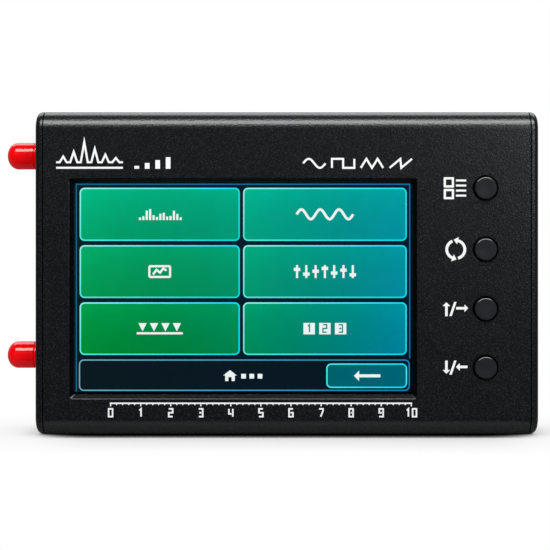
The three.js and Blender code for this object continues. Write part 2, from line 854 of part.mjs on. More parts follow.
// Plug on the board, right of the battery, and the pair of wires that reaches it
const plugLeft = batteryRight + plugInset - plugWidth;
const plugLow = batteryRise;

const batteryPlug = () => boxBetween([plugLeft, boardBackY, plugLow],
  [plugLeft + plugWidth, boardBackY + plugThickness, plugLow + plugHeight]);

function batteryLead() {
  const startY = (batteryFrontY + batteryBackY) / 2;
  const startZ = batteryRise + batteryHeight - plugHeight;
  const middleX = plugLeft + plugWidth / 2;
  const endY = boardBackY + plugThickness / 2;
  const endZ = plugLow + plugHeight + runningGap;
  const route = new THREE.CubicBezierCurve3(
    new THREE.Vector3(batteryRight + runningGap, startY, startZ),
    new THREE.Vector3(middleX, startY, startZ),
    new THREE.Vector3(middleX, endY, endZ + plugHeight),
    new THREE.Vector3(middleX, endY, endZ));
  const half = leadThickness / 2;
  const section = roundedRectangle(
    -leadWidth / 2, -half, leadWidth / 2, half, roundEndShare * half);
  return new THREE.ExtrudeGeometry(section, {
    steps: leadSteps,
    curveSegments: edgeSteps,
    extrudePath: route,
  });
}

// Assembly
const analyzer = new THREE.Group();

function add(name, geometry, material) {
  const merged = geometryOf(solidOf(geometry));
  merged.computeVertexNormals();
  const mesh = new THREE.Mesh(merged, material);
  mesh.name = name;
  analyzer.add(mesh);
}

add("front_shell", frontShell(), blackAluminium);
add("rear_shell", rearShell(), blackAluminium);
add("left_end_plate", leftEndPlate(), blackAluminium);
add("right_end_plate", rightEndPlate(), blackAluminium);

for (const [name, side] of [["left", -1], ["right", 1]]) {
  screwPlaces.forEach(([y, z], index) => {
    add(`${name}_plate_screw_${index + 1}`, plateScrew(side, y, z), blackSteel);
  });
}

jackNames.forEach((name, index) => {
  const share = jackHeightShares[index];
  add(`${name}_jack_body`, jackBody(share), goldPlate);
  add(`${name}_jack_insulator`, jackInsulator(share), whitePlastic);
  add(`${name}_jack_contact`, jackContact(share), goldPlate);
  add(`${name}_jack_washer`, jackWasher(share), nickelPlate);
  add(`${name}_jack_nut`, jackNut(share), goldPlate);
  add(`${name}_dust_cap`, dustCap(share), redVinyl);
  add(`${name}_shield_can`, shieldCan(share), tinPlate);
});

add("window_gasket", windowGasket(), foam);
add("touch_panel", touchPanel(), panelGlass);
add("lcd_panel", lcdPanel(), screenGlass);
add("backlight_tray", backlightTray(), tinPlate);
add("display_board", displayBoard(), boardLaminate);
standoffPlaces.forEach((place, index) => {
  add(`display_standoff_${index + 1}`, standoff(place), nickelPlate);
});
add("display_header", displayHeader(), blackPlastic);
add("main_board", mainBoard(), boardLaminate);

buttonNames.forEach((name, index) => {
  const z = buttonHeightShares[index] * caseHeight;
  add(`${name}_button`, buttonCap(z), buttonPlastic);
  add(`${name}_button_stem`, buttonStem(z), blackPlastic);
  add(`${name}_button_switch`, buttonSwitch(z), blackPlastic);
});

add("usb_socket", usbSocket(), nickelPlate);
add("power_switch", powerSwitch(), tinPlate);
add("power_slider", powerSlider(), blackPlastic);
add("charge_light", chargeLight(), lightPlastic);
add("processor", processor(), chipPlastic);
add("crystal", crystal(), tinPlate);
add("battery", battery(), batteryFoil);
add("battery_pad", batteryPad(), foam);
add("battery_plug", batteryPlug(), whitePlastic);
add("battery_lead", batteryLead(), wireSheath);

export default analyzer;
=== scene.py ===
# %% [markdown]
# # A handheld spectrum analyzer
#
# The real thing is a flat aluminium box, as long as a hand, with a touch screen, four round
# buttons and two coaxial jacks under red caps. This file gives the solids of its CAD model
# their finish: fine surfaces where the CAD has facets, and a material on every piece.

# %% The frame
import json
import math

import bmesh
import bpy
import numpy as np
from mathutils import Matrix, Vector
from mathutils.geometry import tessellate_polygon


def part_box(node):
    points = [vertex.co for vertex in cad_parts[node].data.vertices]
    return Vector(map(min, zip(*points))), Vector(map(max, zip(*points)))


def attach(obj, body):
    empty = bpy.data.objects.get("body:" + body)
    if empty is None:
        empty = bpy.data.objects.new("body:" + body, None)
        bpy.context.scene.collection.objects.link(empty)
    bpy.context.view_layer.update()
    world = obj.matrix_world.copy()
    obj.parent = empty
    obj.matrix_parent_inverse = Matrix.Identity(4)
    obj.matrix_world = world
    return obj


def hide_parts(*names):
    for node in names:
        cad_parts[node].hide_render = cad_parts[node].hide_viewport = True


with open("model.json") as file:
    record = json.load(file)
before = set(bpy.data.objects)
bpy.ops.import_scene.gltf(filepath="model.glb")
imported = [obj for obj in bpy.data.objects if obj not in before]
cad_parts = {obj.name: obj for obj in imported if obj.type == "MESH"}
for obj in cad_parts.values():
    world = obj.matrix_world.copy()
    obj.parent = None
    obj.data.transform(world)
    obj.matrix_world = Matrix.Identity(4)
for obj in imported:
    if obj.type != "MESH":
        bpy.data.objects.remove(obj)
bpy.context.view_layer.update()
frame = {"nodes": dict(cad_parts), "record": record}
MM = 0.001


def placed(name, data):
    """A new object of the scene, at the origin, unturned and unscaled."""
    made = bpy.data.objects.new(name, data)
    bpy.context.scene.collection.objects.link(made)
    return made


# %% [markdown]
# ## The camera
#
# Both end plates show only their edges, so the camera stands straight in front of the case,
# level with the screen. How far the jacks stand out past the plate gives its distance.

# %% Camera
CAMERA_X = -3.3 * MM
CAMERA_HEIGHT = 44.63 * MM
CAMERA_DISTANCE = 350 * MM
FOCAL_PIXELS = 1261.7
PICTURE_PIXELS = 550
NEAREST_SEEN = 10 * MM

camera_data = bpy.data.cameras.new("camera")
camera = placed("camera", camera_data)
camera.location = (CAMERA_X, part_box("front_shell")[0].y - CAMERA_DISTANCE, CAMERA_HEIGHT)
camera.rotation_euler = (math.radians(90), 0, 0)
camera_data.sensor_fit = "HORIZONTAL"
camera_data.lens = FOCAL_PIXELS / PICTURE_PIXELS * camera_data.sensor_width
camera_data.clip_start = NEAREST_SEEN
bpy.context.scene.camera = camera
print("lens in mm:", round(camera_data.lens, 1))

# %% [markdown]
# ## How a surface is made
#
# Every new piece is a set of patches: points in millimetres and faces on them. Most patches
# are grids of quads between closed loops, one behind another. A flat area with holes is
# filled with triangles. Patches meet point on point, so merging the doubles closes a piece.

# %% Grids and flat areas
def grid(points, closed=True):
    """Quads between the neighbours in a (rows, columns, 3) array; closed joins the last
    column to the first."""
    rows, columns = points.shape[:2]
    index = np.arange(rows * columns).reshape(rows, columns)
    if closed:
        index = np.hstack([index, index[:, :1]])
    quads = np.stack([index[:-1, :-1], index[1:, :-1], index[1:, 1:], index[:-1, 1:]], -1)
    return points.reshape(-1, 3), quads.reshape(-1, 4), True


def swept(loops, depths, lift):
    """A grid through loops of flat points: loop k lies at depth k, and lift turns two flat
    coordinates and a depth into a point of the case."""
    flat = np.stack(loops)
    depth = np.broadcast_to(np.reshape(depths, (-1, 1)), flat.shape[:2])
    return grid(lift(flat[..., 0], flat[..., 1], depth))


def profiled(loop_of, profile, lift):
    """A loop for each pair of a profile: a spread that shapes the loop, and its depth."""
    return swept([loop_of(spread) for spread, _ in profile], [depth for _, depth in profile], lift)


def filled(loops, depth, lift):
    """Triangles over the flat area inside the first loop and outside the other ones."""
    outlines = [[(*point, 0) for point in loop] for loop in loops]
    flat = np.concatenate(loops)
    faces = np.array(tessellate_polygon(outlines))
    return lift(flat[:, 0], flat[:, 1], np.full(len(flat), float(depth))), faces, False


def prism(loops, low, high, lift):
    """A flat shape between two depths: a wall along each loop, and the area between the
    loops closed at both ends."""
    walls = [swept([loop, loop], [low, high], lift) for loop in loops]
    return [*walls, filled(loops, low, lift), filled(loops, high, lift)]


print("points and faces of a small grid:", [len(part) for part in grid(np.zeros((3, 4, 3)))[:2]])

# %% Loops
ARC_STEP = math.radians(7.5)
SMALL_SIDES, HOLE_SIDES, ROUND_SIDES, FINE_SIDES = 32, 48, 72, 96


def unit(vectors):
    """Vectors over their lengths."""
    return vectors / np.linalg.norm(vectors, axis=-1, keepdims=True)


def filleted(corners, radii, closed=False):
    """A line through corners, each turned into an arc of its radius: the arc's centre lies on
    the corner's bisector, radius over the sine of half the corner's angle away from it."""
    corners = np.asarray(corners, float)
    run = []
    for index, radius in enumerate(radii):
        here = corners[index]
        if radius <= 0 or (not closed and index in (0, len(corners) - 1)):
            run.append(here[None])
            continue
        before = unit(corners[index - 1] - here)
        after = unit(corners[(index + 1) % len(corners)] - here)
        half = math.acos(np.dot(before, after)) / 2
        centre = here + unit(before + after) * radius / math.sin(half)
        start = here + before * radius / math.tan(half) - centre
        finish = here + after * radius / math.tan(half) - centre
        turn = math.pi - 2 * half
        share = np.linspace(0, 1, max(2, math.ceil(turn / ARC_STEP)) + 1)[:, None]
        arc = np.sin((1 - share) * turn) * start + np.sin(share * turn) * finish
        run.append(centre + arc / math.sin(turn))
    return np.concatenate(run)


def rectangle(low, high):
    """The corners of a rectangle between its lowest and its highest one."""
    return np.array([(low[0], low[1]), (high[0], low[1]), (high[0], high[1]), (low[0], high[1])])


def rounded(low, high, radius):
    """A rectangle with an arc of one radius at each corner."""
    return filleted(rectangle(low, high), [radius] * 4, closed=True)


def circle(centre, radius, sides=ROUND_SIDES):
    """Points at equal angles on a circle; radius may be an array with one value per angle."""
    angle = np.linspace(0, 2 * math.pi, sides, endpoint=False)
    return np.stack([centre[0] + radius * np.cos(angle), centre[1] + radius * np.sin(angle)], -1)


def turned(profile, centre, lift, sides=ROUND_SIDES):
    """A surface of revolution: each pair of the profile is a radius and a depth."""
    return profiled(lambda radius: circle(centre, radius, sides), profile, lift)


def bar(middle, half, radius, low, high, lift):
    """A rounded bar that reaches half its size to each side of its middle."""
    return prism([rounded(middle - half, middle + half, radius)], low, high, lift)


print("points on a corner of 90 degrees:", len(rounded((0, 0), (2, 2), 1)) // 4)

# %% [markdown]
# ## From patches to a piece
#
# The patches are joined, and the normals turned so that they point out of the solid. Faces
# that meet at more than 30 degrees keep a crease. A Weighted Normal modifier lets the big
# faces win at a shared corner, so a narrow fillet pulls no streak over a wide face.

# %% Making a piece
WELD = 1e-6
CREASE = math.radians(30)
finishes = {}


def make(name, patches, slot, stands_for=(), body="case", material=None):
    """One object from patches given in millimetres, riding on a body, in the finish of its
    slot or in a material of its own."""
    starts = np.cumsum([0] + [len(points) for points, _, _ in patches])
    faces = [face for (_, quads, _), start in zip(patches, starts)
             for face in (np.asarray(quads) + start).tolist()]
    smooth = np.concatenate([np.full(len(quads), soft) for _, quads, soft in patches])
    mesh = bpy.data.meshes.new(name)
    mesh.from_pydata(np.concatenate([points for points, _, _ in patches]) * MM, [], faces)
    mesh.polygons.foreach_set("use_smooth", smooth)
    work = bmesh.new()
    work.from_mesh(mesh)
    bmesh.ops.remove_doubles(work, verts=work.verts, dist=WELD)
    bmesh.ops.dissolve_degenerate(work, edges=work.edges, dist=WELD)
    bmesh.ops.recalc_face_normals(work, faces=work.faces)
    open_edges = sum(not edge.is_manifold for edge in work.edges)
    work.to_mesh(mesh)
    work.free()
    mesh.set_sharp_from_angle(angle=CREASE)
    piece = placed(name, mesh)
    piece.modifiers.new("even_shading", "WEIGHTED_NORMAL").keep_sharp = True
    mesh.materials.append(material or finishes[slot])
    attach(piece, body)
    if stands_for:
        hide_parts(*stands_for)
    print(f"{name}: {len(mesh.polygons)} faces, {open_edges} open edges")
    return piece


# %% [markdown]
# ## Finishes
#
# Materials read Object coordinates, which are the case's own in metres, so a noise with a
# scale of 2000 has grains of half a millimetre on every piece. One function makes the plain
# finishes: a slow noise drifts the colour, a fine one makes roughness, bumps and flecks.

# %% Node helpers
class Nodes:
    """A tree of nodes, and the coordinates that its textures read."""

    def __init__(self, tree, coordinates="Object"):
        self.tree = tree
        self.place = self.put("ShaderNodeTexCoord").outputs[coordinates]

    def feed(self, node, inputs):
        """Link each input that is a socket, and set every other one."""
        for key, value in inputs.items():
            if isinstance(value, bpy.types.NodeSocket):
                self.tree.links.new(value, node.inputs[key])
            else:
                node.inputs[key].default_value = value
        return node

    def put(self, kind, inputs=None, **settings):
        """A new node with its properties set and its inputs fed."""
        made = self.tree.nodes.new(kind)
        for key, value in settings.items():
            setattr(made, key, value)
        return self.feed(made, inputs or {})

    def axis(self, name):
        """One coordinate of the place, in metres."""
        return self.put("ShaderNodeSeparateXYZ", {0: self.place}).outputs[name]

    def noise(self, size):
        """Noise whose lumps are about size millimetres across."""
        inputs = {"Vector": self.place, "Scale": 1 / (size * MM)}
        return self.put("ShaderNodeTexNoise", inputs).outputs["Fac"]

    def math(self, operation, *values):
        """An operation on one or two numbers or sockets."""
        inputs = dict(enumerate(values))
        return self.put("ShaderNodeMath", inputs, operation=operation).outputs[0]

    def between(self, share, low, high, from_low=0.3, from_high=0.7, way="LINEAR"):
        """A number that goes from low to high as share goes from from_low to from_high."""
        inputs = {"Value": share, "From Min": from_low, "From Max": from_high, "To Min": low,
                  "To Max": high}
        return self.put("ShaderNodeMapRange", inputs, interpolation_type=way).outputs["Result"]

    def blend(self, share, first, second, way="MIX"):
        """A colour between two colours, each given as three numbers or a socket."""
        first, second = [(*end, 1) if isinstance(end, tuple) else end for end in (first, second)]
        return self.put("ShaderNodeMix", {0: share, 6: first, 7: second}, data_type="RGBA",
                        blend_type=way).outputs[2]


print("what a tree can be given:", [name for name in vars(Nodes) if name[0] != "_"])

# %% A finish with grain
def material_of(name, inputs_of):
    """A material whose shader gets the inputs that inputs_of(nodes) works out."""
    material = bpy.data.materials.new(name)
    material.use_nodes = True
    nodes = Nodes(material.node_tree)
    nodes.feed(material.node_tree.nodes["Principled BSDF"], inputs_of(nodes))
    return material


FLECK_SPAN = (0.50, 0.78)


def grained(name, dark, light, roughness, metallic=0.0, grain=0.3, bump=0.1, depth=0.02,
            patch=6.0, specular=0.5, fleck=None, lump=None):
    """Colour = slow noise between dark and light, with flecks where a fine noise is high;
    roughness = fine noise between two values; height = noise of the lump's size, or else the
    fine noise, depth millimetres tall."""
    def inputs_of(nodes):
        fine = nodes.noise(grain)
        colour = nodes.blend(nodes.between(nodes.noise(patch), 0.0, 1.0), dark, light)
        if fleck:
            colour = nodes.blend(nodes.between(fine, 0.0, 1.0, *FLECK_SPAN), colour, fleck)
        height = {"Height": nodes.noise(lump) if lump else fine, "Strength": bump,
                  "Distance": depth * MM}
        return {"Base Color": colour, "Roughness": nodes.between(fine, *roughness),
                "Metallic": metallic, "Specular IOR Level": specular,
                "Normal": nodes.put("ShaderNodeBump", height).outputs["Normal"]}
    return material_of(name, inputs_of)


print("flecks where the fine noise is in", FLECK_SPAN)

# %% [markdown]
# ## The plain finishes, one for each slot of the record
#
# The powder coat's lumps make the lit edge of the case glitter, and paler grains show as
# fine flecks on the face. The window's bevel gets a much darker colour, as painted shade in
# the window's recess. Metals have a low roughness and a faint grain, plastics a wider highlight.

# %% Finishes of the slots
finishes |= {
    "case_metal": grained(
        "powder_coat", (0.0042, 0.0046, 0.0054), (0.0052, 0.0056, 0.0065), (0.21, 0.29),
        grain=0.34, bump=0.7, depth=0.075, patch=9.0, specular=0.65,
        fleck=(0.0180, 0.0200, 0.0238), lump=0.5),
    "screw_steel": grained(
        "black_oxide", (0.012, 0.012, 0.013), (0.022, 0.021, 0.021), (0.28, 0.42),
        metallic=0.6, grain=0.15, bump=0.15, depth=0.01),
    "button_plastic": grained(
        "satin_button", (0.0125, 0.0142, 0.0158), (0.0155, 0.0178, 0.0198), (0.18, 0.23),
        grain=0.18, bump=0.18, depth=0.012, patch=3.0, specular=0.65),
    "cap_vinyl": grained(
        "red_vinyl", (0.86, 0.0010, 0.0030), (0.92, 0.0014, 0.0040), (0.08, 0.12),
        grain=2.0, bump=0.006, depth=0.01, patch=4.0, specular=0.65),
    "gold_plate": grained(
        "gold_plating", (0.72, 0.46, 0.14), (0.82, 0.56, 0.20), (0.14, 0.26),
        metallic=1.0, grain=0.2, bump=0.06, depth=0.006),
    "nickel_plate": grained(
        "nickel_plating", (0.50, 0.48, 0.44), (0.60, 0.58, 0.54), (0.16, 0.28),
        metallic=1.0, grain=0.2, bump=0.06, depth=0.006),
    "white_insulator": grained(
        "waxy_insulator", (0.80, 0.80, 0.76), (0.86, 0.86, 0.83), (0.38, 0.5),
        grain=0.25, bump=0.08, depth=0.01),
    "black_plastic": grained(
        "moulded_black", (0.009, 0.009, 0.010), (0.014, 0.014, 0.015), (0.4, 0.55),
        grain=0.2, bump=0.15, depth=0.012),
    "black_foam": grained(
        "closed_cell_foam", (0.004, 0.004, 0.004), (0.010, 0.010, 0.010), (0.85, 0.95),
        grain=0.35, bump=0.6, depth=0.05, specular=0.2),
    "tin_plate": grained(
        "tinned_sheet", (0.38, 0.40, 0.41), (0.50, 0.52, 0.53), (0.22, 0.4),
        metallic=1.0, grain=0.5, bump=0.08, depth=0.01),
    "board_laminate": grained(
        "solder_mask", (0.006, 0.050, 0.020), (0.012, 0.085, 0.034), (0.3, 0.45),
        grain=0.6, bump=0.12, depth=0.02, patch=1.6),
    "chip_plastic": grained(
        "chip_moulding", (0.011, 0.011, 0.012), (0.016, 0.016, 0.017), (0.5, 0.65),
        grain=0.12, bump=0.2, depth=0.01),
    "battery_foil": grained(
        "foil_pouch", (0.42, 0.43, 0.44), (0.50, 0.51, 0.52), (0.25, 0.4),
        metallic=0.8, grain=2.5, bump=0.25, depth=0.08),
    "wire_sheath": grained(
        "wire_insulation", (0.30, 0.006, 0.004), (0.38, 0.009, 0.006), (0.35, 0.45),
        grain=0.5, bump=0.05, depth=0.01),
    "light_lens": grained(
        "diffuse_lens", (0.18, 0.56, 0.22), (0.24, 0.68, 0.30), (0.18, 0.3),
        grain=0.4, bump=0.05, depth=0.01),
}
# Painted shade for the window's bevel: a near-black colour, much darker than the coat.
recess_shade = grained("recess_shade", (0.0005, 0.0005, 0.0006), (0.0008, 0.0008, 0.0009), (0.26, 0.32),
                   grain=0.3, bump=0.2, depth=0.02, specular=0.55)
paint = grained("screen_print", (0.74, 0.74, 0.74), (0.80, 0.80, 0.80), (0.5, 0.65),
                grain=0.2, bump=0.05, depth=0.01)
print("finishes:", len(finishes))

# %% [markdown]
# ## The glass and the lit picture
#
# The touch panel keeps its CAD solid and gets a transmitting shader with faint smears. The
# picture behind it is black and only emits. A wave with a period of half a millimetre gives
# the faint lines of the panel.

# %% Glass and screen finishes
SMEAR_SIZE = 14.0
finishes["panel_glass"] = material_of("touch_glass", lambda nodes: {
    "Base Color": (0.93, 0.97, 0.96, 1), "Transmission Weight": 1.0, "IOR": 1.45,
    "Specular IOR Level": 0.15, "Roughness": nodes.between(nodes.noise(SMEAR_SIZE), 0.0, 0.05)})

LINE_PERIOD = 0.5
WAVE_TURNS = 20
CLOUD_SIZE = 5.0
CLOUD_LEVELS = (0.97, 1.03)


def lit(name, colour_of, lines=0.05):
    """A shader that only emits: colour_of(nodes) gives the colour, darkened by up to lines
    along a wave that runs down the screen."""
    def inputs_of(nodes):
        scale = 2 * math.pi / (WAVE_TURNS * LINE_PERIOD * MM)
        wave = nodes.put("ShaderNodeTexWave", {"Vector": nodes.place, "Scale": scale},
                         bands_direction="Z").outputs["Fac"]
        level = nodes.math("MULTIPLY", nodes.between(wave, 1 - lines, 1.0, 0.0, 1.0),
                           nodes.between(nodes.noise(CLOUD_SIZE), *CLOUD_LEVELS))
        glow = nodes.put("ShaderNodeVectorMath", {0: colour_of(nodes), "Scale": level},
                         operation="SCALE").outputs[0]
        return {"Emission Color": glow, "Emission Strength": 1.0, "Base Color": (0, 0, 0, 1),
                "Roughness": 0.6, "Specular IOR Level": 0.0}
    return material_of(name, inputs_of)


print("lines of the panel every", LINE_PERIOD, "mm")

# %% [markdown]
# ## Where things are
#
# Places are read from the CAD nodes, so a piece always lies where its solid is. A lift turns
# two flat coordinates and a depth into a point: there is one for each end of the case, with
# the depth counted outwards, and one for the front, counted forwards from the middle.

# %% Places from the frame
def box_mm(node):
    """The lowest and the highest corner of a node, in millimetres."""
    low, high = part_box(node)
    return np.array(low) / MM, np.array(high) / MM


def middle_mm(node):
    """Half the sum of a node's two corners."""
    low, high = box_mm(node)
    return (low + high) / 2


FRONT = box_mm("front_shell")[0][1]
BACK = box_mm("rear_shell")[1][1]
HEIGHT = box_mm("front_shell")[1][2]
SHELL_END = box_mm("front_shell")[1][0]
PLATE = box_mm("right_end_plate")[1][0] - SHELL_END
CORNER = 5.3
WALL = 2.0
SEAM = 0.17
SEAM_DEPTH = 0.35
EDGE = 0.1
SUNK = 0.1
X, Y, Z = np.eye(3)


def lifted(origin, *axes):
    """A lift: the origin plus two flat coordinates and a depth, each along its own axis."""
    return lambda a, b, depth: origin + np.stack([a, b, depth], -1) @ axes


to_left = lifted(-SHELL_END * X, Y, Z, -X)
to_right = lifted(SHELL_END * X, Y, Z, X)
to_front = lifted(0 * X, X, Z, -Y)
print("case in mm: front", FRONT, "back", BACK, "height", HEIGHT, "shell ends", SHELL_END)

# %% [markdown]
# ## The two halves of the case
#
# Each half is an extruded profile, so it is one chain of points carried along X: a channel
# for the end screws, the lapped edge and the rounded corner. The lower chain is flipped for
# the upper edge, and the flat walls between them are filled round their holes. At its ends
# the chain is drawn in, which leaves the fine dark groove beside each end plate.

# %% Section of a half
SCREW_INSET = 5.0
CHANNEL_RADIUS = 3.0
BORE_RADIUS = 1.75
CHANNEL_START = math.radians(158)
CHANNEL_STEPS = 34


def chain(reach, lap_end, lap_height, ribs, inset):
    """The lower edge of a half, as (depth behind the big face, height): the inner wall, an
    arc round the screw channel, ribs, the lapped edge, and the outer corner's arc."""
    angle = np.linspace(CHANNEL_START, -math.pi / 2, CHANNEL_STEPS)
    channel = SCREW_INSET + CHANNEL_RADIUS * np.stack([np.cos(angle), np.sin(angle)], -1)
    lap = [(lap_end, WALL), (lap_end, lap_height), (reach, lap_height), (reach, SEAM)]
    corner = filleted([(reach - SEAM, inset), (inset, inset), (inset, HEIGHT / 2)],
                      [0, CORNER - inset, 0])[:-1]
    return np.concatenate([[(WALL, channel[0, 1])], channel, ribs, lap, corner])


def pierced(outer, inner, depths, holes, lift):
    """Two flat faces with the same holes, and the walls of the holes. A hole is a function
    that gives its loop at each spread, and a profile of spreads and depths."""
    mouths = [loop_of(profile[0][0]) for loop_of, profile in holes]
    exits = [loop_of(profile[-1][0]) for loop_of, profile in holes]
    walls = [profiled(loop_of, profile, lift) for loop_of, profile in holes]
    return [filled([outer, *mouths], depths[0], lift),
            filled([inner, *exits], depths[1], lift), *walls]


print("section points:", len(chain(10, 8, 1, np.empty((0, 2)), 0)))

# %% A whole half
def half_case(reach, lap_end, lap_height, ribs, place, depths, holes):
    """The closed surface of a half; place turns a section point and an x into a point."""
    x = np.array([-SHELL_END, SEAM - SHELL_END, SHELL_END - SEAM, SHELL_END])
    low = np.stack([chain(reach, lap_end, lap_height, ribs, inset)
                    for inset in (SEAM_DEPTH, 0, 0, SEAM_DEPTH)])
    high = low * (1, -1) + (0, HEIGHT)
    sheets = [(low, x), (high, x)] + [(np.stack([low[rows, -1], high[rows, -1]], 1), x[rows])
                                      for rows in ([0, 1], [2, 3])]
    patches = []
    for points, places in sheets:
        spread = np.broadcast_to(places[:, None], points.shape[:2])
        patches.append(grid(place(points[..., 0], points[..., 1], spread), closed=False))

    outer_z, inner_z = low[1, -1, 1], low[0, 0, 1]
    outer = rectangle((x[1], outer_z), (x[2], HEIGHT - outer_z))
    inner = np.concatenate([np.stack([x, np.full(4, inner_z)], -1),
                            np.stack([x[::-1], np.full(4, HEIGHT - inner_z)], -1)])
    patches += pierced(outer, inner, depths, holes, to_front)

    bores = [circle((SCREW_INSET, z), BORE_RADIUS, SMALL_SIDES)
             for z in (SCREW_INSET, HEIGHT - SCREW_INSET)]
    end = np.concatenate([low[0], high[0, ::-1]])
    patches += [swept([bore, bore], [-SHELL_END, SHELL_END], place) for bore in bores]
    return patches + [filled([end, *bores], side * SHELL_END, place) for side in (-1, 1)]


print("length of a half in mm:", 2 * SHELL_END)

# %% [markdown]
# ### Window and button holes
#
# The window has a bevel at 45 degrees. Its faces get a much darker colour than the coat,
# as painted shade in the window's recess. Its corners stay nearly mitred, and a small fillet
# where it meets the face catches a bright rim of light. The button holes are plain bores
# with a broken edge.

# %% Front half
WINDOW_LOW, WINDOW_HIGH = np.array([-59.2, 11.4]), np.array([34.9, 70.2])
WINDOW_BEVEL = 1.2
WINDOW_RIM = 0.45
WINDOW_CORNER = 0.35
WINDOW_CORNER_GROWTH = 0.4
BEVEL_SLACK = 0.02
BUTTON_HOLE = 3.6
HOLE_EDGE = 0.15
BUTTONS = {name: middle_mm(f"{name}_button")[[0, 2]] for name in ("menu", "refresh", "up", "down")}
TONGUE = 1.6
LAP_HEIGHT = 1.15
GUIDE_NEAR = 1.1
GUIDE_FAR = 2.3
GUIDE_TOP = 4.5
face_depth = -FRONT
inner_depth = face_depth - WALL
split_y = box_mm("rear_shell")[0][1]


def window_loop(spread):
    """The window grown by spread on every side."""
    return rounded(WINDOW_LOW - spread, WINDOW_HIGH + spread,
                   WINDOW_CORNER + WINDOW_CORNER_GROWTH * spread)


def round_hole(centre, profile, sides=HOLE_SIDES):
    """A bore whose profile gives its radius at each depth."""
    return (lambda radius: circle(centre, radius, sides)), profile


behind_front = lifted(FRONT * Y, Y, Z, X)
bevel = filleted([(2 * WINDOW_BEVEL, face_depth), (WINDOW_BEVEL, face_depth),
                  (0, face_depth - WINDOW_BEVEL), (0, inner_depth)],
                 [0, WINDOW_RIM, HOLE_EDGE, 0])[1:]
button_edge = filleted([(BUTTON_HOLE + 1, face_depth), (BUTTON_HOLE, face_depth),
                        (BUTTON_HOLE, inner_depth)], [0, HOLE_EDGE, 0])[1:]
front_holes = [(window_loop, bevel)] + [round_hole(centre, button_edge, ROUND_SIDES)
                                        for centre in BUTTONS.values()]
guide = [(-GUIDE_FAR, WALL), (-GUIDE_FAR, GUIDE_TOP), (-GUIDE_NEAR, GUIDE_TOP), (-GUIDE_NEAR, WALL)]
guides = np.array(guide + [(-depth, height) for depth, height in guide[::-1]]) + (face_depth, 0)

front_reach = split_y - FRONT
front_half = make(
    "front_half", half_case(front_reach, front_reach + TONGUE, LAP_HEIGHT, guides, behind_front,
                            (face_depth, inner_depth), front_holes),
    "case_metal", ["front_shell"])
# The bevel's faces take the darker colour, painted shade in the window's recess.
front_half.data.materials.append(recess_shade)
for face in front_half.data.polygons:
    x, y, z = face.center / MM
    beyond_window = np.maximum(WINDOW_LOW - (x, z), (x, z) - WINDOW_HIGH).max()
    if -face_depth <= y < -inner_depth - SEAM and beyond_window < WINDOW_BEVEL + BEVEL_SLACK:
        face.material_index = 1

# %% [markdown]
# ### The rear half
#
# The same chain makes the rear half: less deep, without ribs for the board, and with its
# edge cut back to take the front half's tongue.

# %% Rear half
LAP_GAP = 0.3
before_back = lifted(BACK * Y, -Y, Z, X)
rear_reach = BACK - split_y
make("rear_half", half_case(rear_reach, rear_reach - TONGUE - LAP_GAP, LAP_HEIGHT - LAP_GAP,
                            np.empty((0, 2)), before_back, (-BACK, WALL - BACK), []),
     "case_metal", ["rear_shell"])

# %% [markdown]
# ## The end plates
#
# A plate's outer edge is rounded over almost its whole thickness, so a band of light runs
# along it. It is a stack of loops, the outline drawn in a little more at each depth. Each
# hole has a profile of its own, and the flat faces are filled round them.

# %% End plates
PLATE_EDGE = 1.65
JACK_HOLE = 3.475
SCREW_HEAD_HOLE = 3.1
SCREW_HEAD_FLOOR = 0.516
screws = {side: [middle_mm(f"{side}_plate_screw_{n}")[1:] for n in (1, 2, 3, 4)]
          for side in ("left", "right")}
jacks = {name: middle_mm(f"{name}_jack_washer")[1:] for name in ("upper", "lower")}


def plate_loop(inset):
    """The plate's outline, drawn in by inset on every side."""
    return rounded((FRONT + inset, inset), (BACK - inset, HEIGHT - inset), CORNER - inset)


def bore(radius):
    """The profile of a straight hole with its outer edge broken."""
    return [(radius + EDGE, PLATE), (radius, PLATE - EDGE), (radius, 0)]


def end_plate(side, holes, lift):
    """The rounded rim, both flat faces, and the walls of the holes and the screw holes."""
    edge = filleted([(0, SEAM), (0, PLATE), (2 * PLATE_EDGE, PLATE)], [0, PLATE_EDGE, 0])[:-1]
    rim = np.concatenate([[(SEAM_DEPTH, 0)], edge])
    head = bore(SCREW_HEAD_HOLE)[:2] + [(BORE_RADIUS, SCREW_HEAD_FLOOR), (BORE_RADIUS, 0)]
    holes = [round_hole(centre, head) for centre in screws[side]] + holes
    return [profiled(plate_loop, rim, lift),
            *pierced(plate_loop(PLATE_EDGE), plate_loop(SEAM_DEPTH), (PLATE, 0), holes, lift)]


left_holes = [round_hole(centre, bore(JACK_HOLE)) for centre in jacks.values()]
make("left_plate", end_plate("left", left_holes, to_left), "case_metal", ["left_end_plate"])

# %% [markdown]
# ### Openings of the right plate
#
# The plate has the charging socket's mouth, the power slider's slot and the charge light's
# hole. The view doesn't show them, so they follow what such a box has.

# %% Right plate
GAP = 0.3
SLOT_CORNER = 0.35
STADIUM_SHARE = 0.98
SLIDER_TRAVEL = 2.0
LIGHT_RADIUS = 1.2
usb_low, usb_high = box_mm("usb_socket")
usb_middle = ((usb_low + usb_high) / 2)[1:]
usb_half = ((usb_high - usb_low) / 2)[1:]
light_middle = middle_mm("charge_light")[1:]
slider_low, slider_high = box_mm("power_slider")


def usb_loop(spread):
    """A rectangle with nearly half-round ends, spread wider than the socket."""
    reach = usb_half + spread
    return rounded(usb_middle - reach, usb_middle + reach, STADIUM_SHARE * reach[0])


def slot_loop(spread):
    """The slider's outline and its travel, with the gap and spread on every side."""
    margin = GAP + spread
    return rounded(slider_low[1:] - margin, slider_high[1:] + (0, SLIDER_TRAVEL) + margin,
                   SLOT_CORNER + spread)


